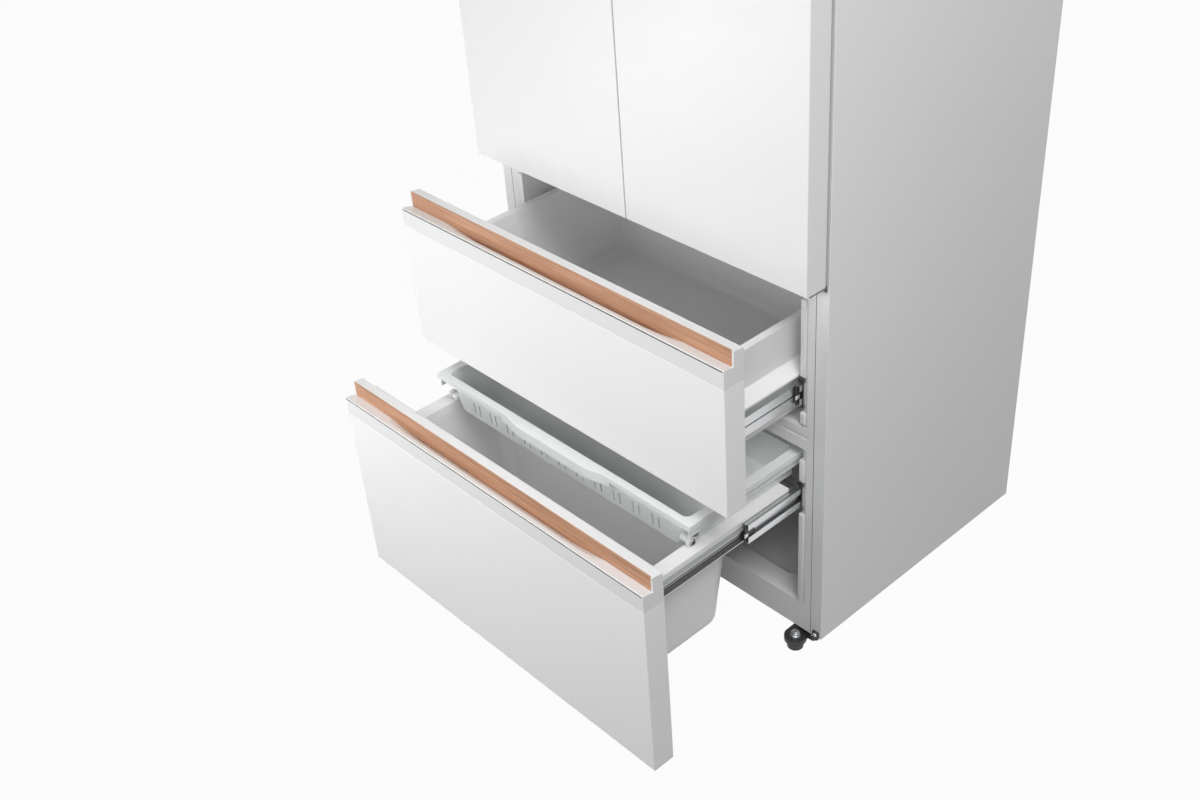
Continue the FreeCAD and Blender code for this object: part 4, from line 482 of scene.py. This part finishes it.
# %% Oak and clear finishes
OAK_BUMP, OAK_COAT, OAK_COAT_ROUGHNESS = 0.00006, 0.15, 0.35
CLEARS = {
    "shelf_glass": ((0.86, 0.94, 0.92), 0.06),
    "crisper_clear": ((0.88, 0.93, 0.94), 0.14),
}
CLEAR_GRAIN, CLEAR_BUMP, CLEAR_SPREAD = 200.0, 0.00001, 0.02
CLEARNESS, REFRACTION = 0.85, 1.45

FINISHES["oak"], shader = finish_from("oak", oak_grain, {"Pore depth": PORE_DEPTH}, OAK_BUMP)
shader.inputs["Coat Weight"].default_value = OAK_COAT
shader.inputs["Coat Roughness"].default_value = OAK_COAT_ROUGHNESS
for name, (colour, gloss) in CLEARS.items():
    FINISHES[name], shader = moulded(name, colour, gloss, CLEAR_GRAIN, CLEAR_BUMP, CLEAR_SPREAD)
    shader.inputs["Transmission Weight"].default_value = CLEARNESS
    shader.inputs["IOR"].default_value = REFRACTION
print("finishes in all:", len(FINISHES))

# %% [markdown]
# The record says which slot each solid takes its finish from, so one loop dresses them all. Choosing
# them by hand would have to be done again whenever the CAD model gains a solid.

# %% Dress the solids
for entry in frame["record"]["subparts"]:
    solid = frame["nodes"][entry["node"]]
    solid.data.materials.clear()
    solid.data.materials.append(FINISHES[entry["material_slot"]])

# %% [markdown]
# Small pieces
#
# Screws, nuts and plastic ends are too fine for the CAD model, so they are modelled here, in
# millimetres. What repeats is shaped once and then copied into place. Most pieces start as a block
# between two corners or as an upright drum. Blender's tools act on whatever is selected, and loading
# leaves every CAD solid selected, so the selection is cleared before each new piece.

# %% Starting shapes
MM = 0.001


def begin():
    """Nothing is selected, so the next tool acts on the new piece alone."""
    bpy.ops.object.select_all(action="DESELECT")


def settle(name):
    """Name the new primitive and apply its place and scale."""
    bpy.ops.object.transform_apply(location=True, rotation=True, scale=True)
    bpy.context.object.name = name
    return bpy.context.object


def box(name, low, high):
    """A block between two corners, as the start of a piece."""
    begin()
    ends = [(first * MM, second * MM) for first, second in zip(low, high)]
    middle = [(first + second) / 2 for first, second in ends]
    spread = [second - first for first, second in ends]
    bpy.ops.mesh.primitive_cube_add(size=1, location=middle, scale=spread)
    return settle(name)


def drum(name, radius, low, high, sides):
    """An upright cylinder between two heights, as the start of a piece."""
    begin()
    bpy.ops.mesh.primitive_cylinder_add(vertices=sides, radius=radius * MM, depth=high * MM - low * MM,
                                        location=(0, 0, (low * MM + high * MM) / 2))
    return settle(name)


print("starting shapes ready")

# %% [markdown]
# In edit mode a flat face can be inset, then pushed in or drawn out, which makes crowns, windows and
# dishes without any cutter. The faces are picked by the way they look: a normal that nearly agrees with
# the wanted direction has a dot product close to one.

# %% Pressing faces
UP, OUT = (0, 0, 1), (1, 0, 0)
FACING = 0.9


def clear_picks(kind):
    """In edit mode, work on corners or faces, with none of them selected."""
    bpy.ops.object.mode_set(mode="EDIT")
    bpy.ops.mesh.select_mode(type=kind)
    bpy.ops.mesh.select_all(action="DESELECT")
    bpy.ops.object.mode_set(mode="OBJECT")


def press(piece, way, steps):
    """Inset the faces that look one way and move them along it, once for each step."""
    clear_picks("FACE")
    for face in piece.data.polygons:
        face.select = face.normal.dot(Vector(way)) > FACING
    bpy.ops.object.mode_set(mode="EDIT")
    for shrink, shift in steps:
        bpy.ops.mesh.inset(thickness=shrink * MM)
        bpy.ops.transform.translate(value=[share * shift * MM for share in way])
    bpy.ops.object.mode_set(mode="OBJECT")


print("pressing ready")

# %% [markdown]
# A recess or an opening is cut by a second piece, with a Boolean modifier. Then a Bevel modifier breaks
# the sharp edges, because a real edge is a little round and catches a thin line of light. Both are
# applied at once, so what is left is a plain mesh.

# %% Cutting and softening
SMOOTH_ANGLE = math.radians(35)


def carve(piece, cutter):
    """Cut one piece with another, which is then thrown away."""
    tool = piece.modifiers.new("carve", "BOOLEAN")
    tool.operation = "DIFFERENCE"
    tool.object = cutter
    bpy.context.view_layer.objects.active = piece
    bpy.ops.object.modifier_apply(modifier="carve")
    bpy.data.objects.remove(cutter)


def soften(piece, width, steps=2):
    """Break the sharp edges and shade the rest smooth."""
    tool = piece.modifiers.new("soften", "BEVEL")
    tool.width = width * MM
    tool.segments = steps
    tool.limit_method = "ANGLE"
    begin()
    piece.select_set(True)
    bpy.context.view_layer.objects.active = piece
    bpy.ops.object.modifier_apply(modifier="soften")
    bpy.ops.object.shade_smooth_by_angle(angle=SMOOTH_ANGLE)


print("cutting and softening ready")

# %% [markdown]
# A copy gets its own mesh, moved by a matrix, so that its object stays at the origin like the CAD
# solids. Linked copies would share one mesh and could not do that. The pattern is made for the right-
# hand side. Its mirror image serves on the left, and there the faces have to be turned round, because
# mirroring leaves them looking inwards.

# %% Copies in place
IN_PLACE = Matrix.Identity(4)
SIDES = (("right", IN_PLACE), ("left", Matrix.Scale(-1, 4, OUT)))


def at(x, y, z):
    """A move to a place given in millimetres."""
    return Matrix.Translation((x * MM, y * MM, z * MM))


def copy_of(pattern, name, placing, body, slot):
    """A copy with its own mesh, put in place by a matrix and riding on a body."""
    mesh = pattern.data.copy()
    mesh.name = name
    mesh.transform(placing)
    if placing.determinant() < 0:
        mesh.flip_normals()
    mesh.materials.clear()
    mesh.materials.append(FINISHES[slot])
    piece = bpy.data.objects.new(name, mesh)
    scene.collection.objects.link(piece)
    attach(piece, body)
    return piece


def put_away(pattern):
    """Report a pattern that has been copied, and remove it."""
    print(pattern.name, "has", len(pattern.data.polygons), "faces")
    bpy.data.objects.remove(pattern)


print("copying ready")

# %% [markdown]
# A pan-head screw starts as a low drum. Its top face is inset and raised twice into a crown, and two
# crossed bars cut the recess for the driver. A flattened sphere could be the head too, but it has no
# upright rim.

# %% Pan-head screw
HEAD_RADIUS, HEAD_HEIGHT, HEAD_SIDES = 4, 2, 28
CROWN = ((0.7, 0.45), (1.0, 0.25))
RECESS_LONG, RECESS_HALF, RECESS_FLOOR, RECESS_TOP = 2.1, 0.45, 1.2, 4
HEAD_EDGE = 0.12

screw = drum("screw_pattern", HEAD_RADIUS, 0, HEAD_HEIGHT, HEAD_SIDES)
press(screw, UP, CROWN)
for long_x, long_y in ((RECESS_LONG, RECESS_HALF), (RECESS_HALF, RECESS_LONG)):
    carve(screw, box("recess_bar", (-long_x, -long_y, RECESS_FLOOR), (long_x, long_y, RECESS_TOP)))
soften(screw, HEAD_EDGE, steps=1)
print("screw faces:", len(screw.data.polygons))

# %% [markdown]
# Screws hold the ears of the foot brackets, the middle hinges and the sheet on the back. All are copies
# of the one screw, a little smaller on the hinges. It was made looking up, so a quarter turn about X
# lets it look to the front or the back.

# %% Screws in place
FACE_FRONT = Matrix.Rotation(math.radians(90), 4, "X")
FACE_BACK = Matrix.Rotation(math.radians(-90), 4, "X")
EAR_SCREW = (404.5, -82.5, 48)
HINGE_SCREWS, HINGE_SCREW_SCALE = ((379, -82, 817.8), (406, -82, 817.8)), 0.85
BACK_FACE, BACK_EDGES, BACK_LEVELS = 521.5, (402, 130), (262, 634, 1006, 1378, 1744)

screws = []
for side, flip in SIDES:
    placing = flip @ at(*EAR_SCREW) @ FACE_FRONT
    screws.append(copy_of(screw, f"ear_screw_{side}", placing, "cabinet", "slide_steel"))
    for number, place in enumerate(HINGE_SCREWS):
        placing = flip @ at(*place) @ FACE_FRONT @ Matrix.Scale(HINGE_SCREW_SCALE, 4)
        screws.append(copy_of(screw, f"hinge_screw_{side}_{number}", placing, "cabinet", "slide_steel"))
    for level in BACK_LEVELS:
        for column, edge in enumerate(BACK_EDGES):
            placing = flip @ at(edge, BACK_FACE, level) @ FACE_BACK
            name = f"back_screw_{side}_{column}_{level}"
            screws.append(copy_of(screw, name, placing, "cabinet", "zinc_sheet"))
print("screws:", len(screws))
put_away(screw)

# %% [markdown]
# The nut on a levelling foot shows bright against the black bracket. A washer, a six-sided nut with a
# raised collar and a slotted stud end are shaped one by one and joined, so that each keeps its own
# crisp outline. A single turned shape could not be round and six-sided at once.

# %% Nut on the levelling foot
NUT_PLACE = (365, -93.5, 29.8)
WASHER_RADIUS, WASHER_TOP, WASHER_SIDES = 10.2, 1.2, 32
NUT_RADIUS, NUT_TOP, NUT_SIDES, NUT_COLLAR = 9.2, 6.6, 6, ((1.6, 0.7),)
STUD_RADIUS, STUD_FOOT, STUD_TOP, STUD_SIDES = 4.4, 6.4, 9.4, 24
SLOT_LOW, SLOT_HIGH = (-6, -0.6, 8.2), (6, 0.6, 12)
NUT_EDGE = 0.35

washer = drum("nut_pattern", WASHER_RADIUS, 0, WASHER_TOP, WASHER_SIDES)
nut = drum("nut_body", NUT_RADIUS, WASHER_TOP, NUT_TOP, NUT_SIDES)
press(nut, UP, NUT_COLLAR)
stud = drum("nut_stud", STUD_RADIUS, STUD_FOOT, STUD_TOP, STUD_SIDES)
carve(stud, box("stud_slot", SLOT_LOW, SLOT_HIGH))
for item in (washer, nut, stud):
    soften(item, NUT_EDGE)
begin()
for item in (washer, nut, stud):
    item.select_set(True)
bpy.context.view_layer.objects.active = washer
bpy.ops.object.join()
for side, flip in SIDES:
    copy_of(washer, f"foot_nut_{side}", flip @ at(*NUT_PLACE), f"levelling_foot_{side}", "slide_steel")
put_away(washer)

# %% [markdown]
# A black plastic stop closes the front end of each middle slide member, and a bright spring clip is
# bent over it. Both are blocks whose outer face is inset: pressed in for the window of the stop, drawn
# out for the bend of the clip. A cutter could make the window too, but an inset keeps the faces four-
# sided.

# %% Slide stops
SLIDE_LEVELS = {"upper": 587, "lower": 359}
MIDDLE_FRONTS = {"upper": -85.5, "lower": -219}
STOP_LOW, STOP_HIGH, STOP_WINDOW, STOP_EDGE = (356.2, -6, -17.5), (360.3, 18, 17.5), ((2.2, -1.6),), 0.5
CLIP_LOW, CLIP_HIGH, CLIP_BEND, CLIP_EDGE = (358.4, -8, -5), (361.2, 1, 3), ((1.4, 0.7),), 0.3

stop = box("stop_pattern", STOP_LOW, STOP_HIGH)
press(stop, OUT, STOP_WINDOW)
soften(stop, STOP_EDGE)
clip = box("clip_pattern", CLIP_LOW, CLIP_HIGH)
press(clip, OUT, CLIP_BEND)
soften(clip, CLIP_EDGE)
for which, level in SLIDE_LEVELS.items():
    for side, flip in SIDES:
        placing = flip @ at(0, MIDDLE_FRONTS[which], level)
        copy_of(stop, f"{which}_slide_stop_{side}", placing, f"{which}_middles", "bracket_black")
        copy_of(clip, f"{which}_slide_clip_{side}", placing, f"{which}_middles", "slide_steel")
put_away(stop)
put_away(clip)

# %% [markdown]
# The edges of each middle member are rolled over into lips that hold its balls. A lip is a long flat
# bar with soft edges, set above and below the open web. It is made anew for each drawer, because
# scaling one bar to the other's length would stretch its round edges.

# %% Lips of the middle members
MIDDLE_BACKS = {"upper": 214.5, "lower": 121}
LIP_IN, LIP_OUT, LIP_LOW, LIP_HIGH = 360.6, 362, 8.1, 19.8
LIP_SETBACK, LIP_EDGE = 0.5, 0.5
LIP_TURNS = (("top", IN_PLACE), ("low", Matrix.Scale(-1, 4, UP)))

for which, level in SLIDE_LEVELS.items():
    lip = box("lip_pattern", (LIP_IN, MIDDLE_FRONTS[which] + LIP_SETBACK, LIP_LOW),
              (LIP_OUT, MIDDLE_BACKS[which] - LIP_SETBACK, LIP_HIGH))
    soften(lip, LIP_EDGE)
    for side, flip in SIDES:
        for edge, turn in LIP_TURNS:
            placing = flip @ at(0, 0, level) @ turn
            copy_of(lip, f"{which}_lip_{edge}_{side}", placing, f"{which}_middles", "slide_steel")
    put_away(lip)

# %% [markdown]
# The rail on the lower drawer is rolled with long grooves for its balls. A bar fills the open side of
# the CAD channel, and three cutters longer than the bar sink the grooves, which leaves two ribs and a
# broad flat band above them. An outline could be extruded instead, but plain cutters are easier to
# move.

# %% Grooved rail faces
RAIL_LOW, RAIL_HIGH, RAIL_EDGE = (341.6, -478.3, 344.1), (353.6, -183, 365.9), 0.3
GROOVES = ((354, 357, 349), (348.8, 351.5, 349), (340, 346.8, 346))
GROOVE_START, GROOVE_END, GROOVE_MOUTH = -490, -170, 360

rail = box("rail_pattern", RAIL_LOW, RAIL_HIGH)
for low, high, floor_of_groove in GROOVES:
    carve(rail, box("rail_groove", (floor_of_groove, GROOVE_START, low), (GROOVE_MOUTH, GROOVE_END, high)))
soften(rail, RAIL_EDGE)
# The rail faces take the dark steel, and their dark tone is painted shade from the drawer above. The real
# rail is the slides' bright steel.
for side, flip in SIDES:
    copy_of(rail, f"shade_painted_rail_face_{side}", flip, "lower_drawer", "bracket_steel")
put_away(rail)

# %% [markdown]
# Where a slide enters the cabinet, a black guard frames its mouth: a thin block with a C-shaped way
# through for the moving members. A cutter that passes the inner side of the block leaves the C open
# there.

# %% Slide guards
GUARD_LOW, GUARD_HIGH, GUARD_EDGE = (353.2, -79.4, -28), (363.9, -77.6, 28), 0.3
WAY_LOW, WAY_HIGH = (350, -82, -23.2), (362.5, -75, 23.2)

guard = box("guard_pattern", GUARD_LOW, GUARD_HIGH)
carve(guard, box("guard_way", WAY_LOW, WAY_HIGH))
soften(guard, GUARD_EDGE)
for which, level in SLIDE_LEVELS.items():
    for side, flip in SIDES:
        placing = flip @ at(0, 0, level)
        copy_of(guard, f"{which}_slide_guard_{side}", placing, "cabinet", "bracket_black")
put_away(guard)

# %% [markdown]
# Each tray roller has a dark ring set into its outer face. A circle is extruded inwards to a flat band,
# and Solidify gives it thickness. A drum with a hole cut through it would do as well, but a Boolean
# leaves long thin faces round such a hole.

# %% Roller rings
FACE_OUT = Matrix.Rotation(math.radians(90), 4, "Y")
ROLLER_Y, ROLLER_LEVEL = -331.5, 398
RING_X, RING_RADIUS, RING_SIDES, RING_SHARE, RING_THICK, RING_EDGE = 335.95, 7, 40, 0.8, 0.6, 0.12

begin()
bpy.ops.mesh.primitive_circle_add(vertices=RING_SIDES, radius=RING_RADIUS * MM, fill_type="NOTHING")
ring = bpy.context.object
ring.name = "ring_pattern"
bpy.ops.object.mode_set(mode="EDIT")
bpy.ops.mesh.select_all(action="SELECT")
bpy.ops.mesh.extrude_edges_move()
bpy.ops.transform.resize(value=(RING_SHARE, RING_SHARE, RING_SHARE), center_override=(0, 0, 0))
bpy.ops.mesh.select_all(action="SELECT")
bpy.ops.mesh.normals_make_consistent(inside=False)
bpy.ops.object.mode_set(mode="OBJECT")
thick = ring.modifiers.new("thick", "SOLIDIFY")
thick.thickness = RING_THICK * MM
thick.offset = 0
bpy.ops.object.modifier_apply(modifier="thick")
soften(ring, RING_EDGE, steps=1)
for side, flip in SIDES:
    placing = flip @ at(RING_X, ROLLER_Y, ROLLER_LEVEL) @ FACE_OUT
    copy_of(ring, f"roller_ring_{side}", placing, f"tray_roller_{side}", "wheel_dark")
put_away(ring)

# %% [markdown]
# A dark cap covers the head of each roller pin. It is a low drum whose face is inset and pressed in,
# because a plain disc would look painted on. It rides on the tray and not on the roller, since the pin
# stands still while the roller turns.

# %% Roller caps
CAP_X, CAP_RADIUS, CAP_HEIGHT, CAP_SIDES, CAP_EDGE = 338.2, 4.7, 0.8, 32, 0.2
CAP_DISH = ((1.5, -0.4),)

cap = drum("cap_pattern", CAP_RADIUS, 0, CAP_HEIGHT, CAP_SIDES)
press(cap, UP, CAP_DISH)
soften(cap, CAP_EDGE)
for side, flip in SIDES:
    placing = flip @ at(CAP_X, ROLLER_Y, ROLLER_LEVEL) @ FACE_OUT
    copy_of(cap, f"roller_cap_{side}", placing, "tray", "wheel_dark")
put_away(cap)

# %% [markdown]
# The gasket of a drawer is a soft ring with rolled edges, and its top run lies low enough for the cap
# to hide it. A curve with a round section could follow the frame, but a gasket is flat at its back. So
# a block is opened to a frame by a cutter, and a wide bevel rolls the edges. The two rings stand for
# the plain ones of the CAD model.

# %% Drawer gaskets
GASKET_HALF, GASKET_DEPTH, GASKET_WIDTH, GASKET_EDGE = 388.4, 9.6, 18, 1.8
GASKETS = {"upper": (-281.4, 503, 798), "lower": (-478.4, 50, 464)}
CUT_BEFORE, CUT_AFTER = 5, 20

for which, (start, low, high) in GASKETS.items():
    gasket = box("gasket_pattern", (-GASKET_HALF, start, low), (GASKET_HALF, start + GASKET_DEPTH, high))
    inner = GASKET_HALF - GASKET_WIDTH
    carve(gasket, box("gasket_hole", (-inner, start - CUT_BEFORE, low + GASKET_WIDTH),
                      (inner, start + CUT_AFTER, high - GASKET_WIDTH)))
    soften(gasket, GASKET_EDGE, steps=3)
    ring = copy_of(gasket, f"{which}_gasket_ring", IN_PLACE, f"{which}_drawer", "gasket_grey")
    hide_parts(f"{which}_gasket")
    put_away(gasket)

# %% [markdown]
# The sides of the freezer mouth are rolled into a bead, broken where the slides, the rail and the
# gaskets pass. A bar is narrowed to a wedge that fits the flare of the liner, and a wide bevel rolls
# its front edges.

# %% Beads of the freezer mouth
BEAD_IN, BEAD_OUT, BEAD_FRONT, BEAD_BACK = 358.4, 370.2, -80.7, -68
BEAD_FOOT, BEAD_EDGE = -76.5, 0.8
BEAD_SPANS = ((107, 321), (397, 445), (525, 549), (625, 778))
BEAD_MIDDLE_X = (BEAD_IN + BEAD_OUT) / 2 * MM
BEAD_MIDDLE_Y = (BEAD_FRONT + BEAD_BACK) / 2 * MM


def move_corners(piece, wanted, shift):
    """Move the corners that stand where they are wanted."""
    clear_picks("VERT")
    for corner in piece.data.vertices:
        corner.select = wanted(corner.co)
    bpy.ops.object.mode_set(mode="EDIT")
    bpy.ops.transform.translate(value=[length * MM for length in shift])
    bpy.ops.object.mode_set(mode="OBJECT")


for low, high in BEAD_SPANS:
    bead = box("bead_pattern", (BEAD_IN, BEAD_FRONT, low), (BEAD_OUT, BEAD_BACK, high))
    move_corners(bead, lambda place: place.x > BEAD_MIDDLE_X and place.y > BEAD_MIDDLE_Y,
                 (0, BEAD_FOOT - BEAD_BACK, 0))
    soften(bead, BEAD_EDGE, steps=3)
    for side, flip in SIDES:
        copy_of(bead, f"mouth_bead_{side}_{low}", flip, "cabinet", "liner_white")
    put_away(bead)

# %% [markdown]
# A dark strip lies in the seam where the folded cabinet sheet meets the liner and the rails. Its dark is
# painted shade for the shadow in that narrow gap, not a sealant. A pale one lies over the sill, and short
# pale ones close the joints under and over the mullion. Lines in the paint could stand for them, but those
# have no thickness, so they are thin bars with broken edges.

# %% Seam and joint strips
SEAM_IN, SEAM_OUT, SEAM_FRONT, SEAM_BACK, SEAM_EDGE = 389.9, 390.9, -79.75, -79.3, 0.12
SEAM_FOOT, SEAM_HEAD = 41, 1732
SILL_LOW, SILL_HIGH = 84.5, 85.5
JOINT_IN, JOINT_FRONT, JOINT_BACK, JOINT_HEIGHT, JOINT_EDGE = 360.2, -79.4, -77.7, 1.8, 0.15
JOINT_LEVELS = (785.1, 853.1)

upright = box("seam_shade_pattern", (SEAM_IN, SEAM_FRONT, SEAM_FOOT), (SEAM_OUT, SEAM_BACK, SEAM_HEAD))
soften(upright, SEAM_EDGE, steps=1)
# The dark upright strips are painted shade: they stand for the shadow in the seam gap.
for side, flip in SIDES:
    copy_of(upright, f"seam_strip_{side}", flip, "cabinet", "trim_dark")
put_away(upright)
sill = box("sill_pattern", (-SEAM_IN, SEAM_FRONT, SILL_LOW), (SEAM_IN, SEAM_BACK, SILL_HIGH))
soften(sill, SEAM_EDGE, steps=1)
copy_of(sill, "seam_strip_low", IN_PLACE, "cabinet", "gasket_grey")
put_away(sill)
for level in JOINT_LEVELS:
    joint = box("joint_pattern", (JOINT_IN, JOINT_FRONT, level),
                (SEAM_IN, JOINT_BACK, level + JOINT_HEIGHT))
    soften(joint, JOINT_EDGE, steps=1)
    for side, flip in SIDES:
        copy_of(joint, f"joint_strip_{side}_{level:.0f}", flip, "cabinet", "gasket_grey")
    put_away(joint)
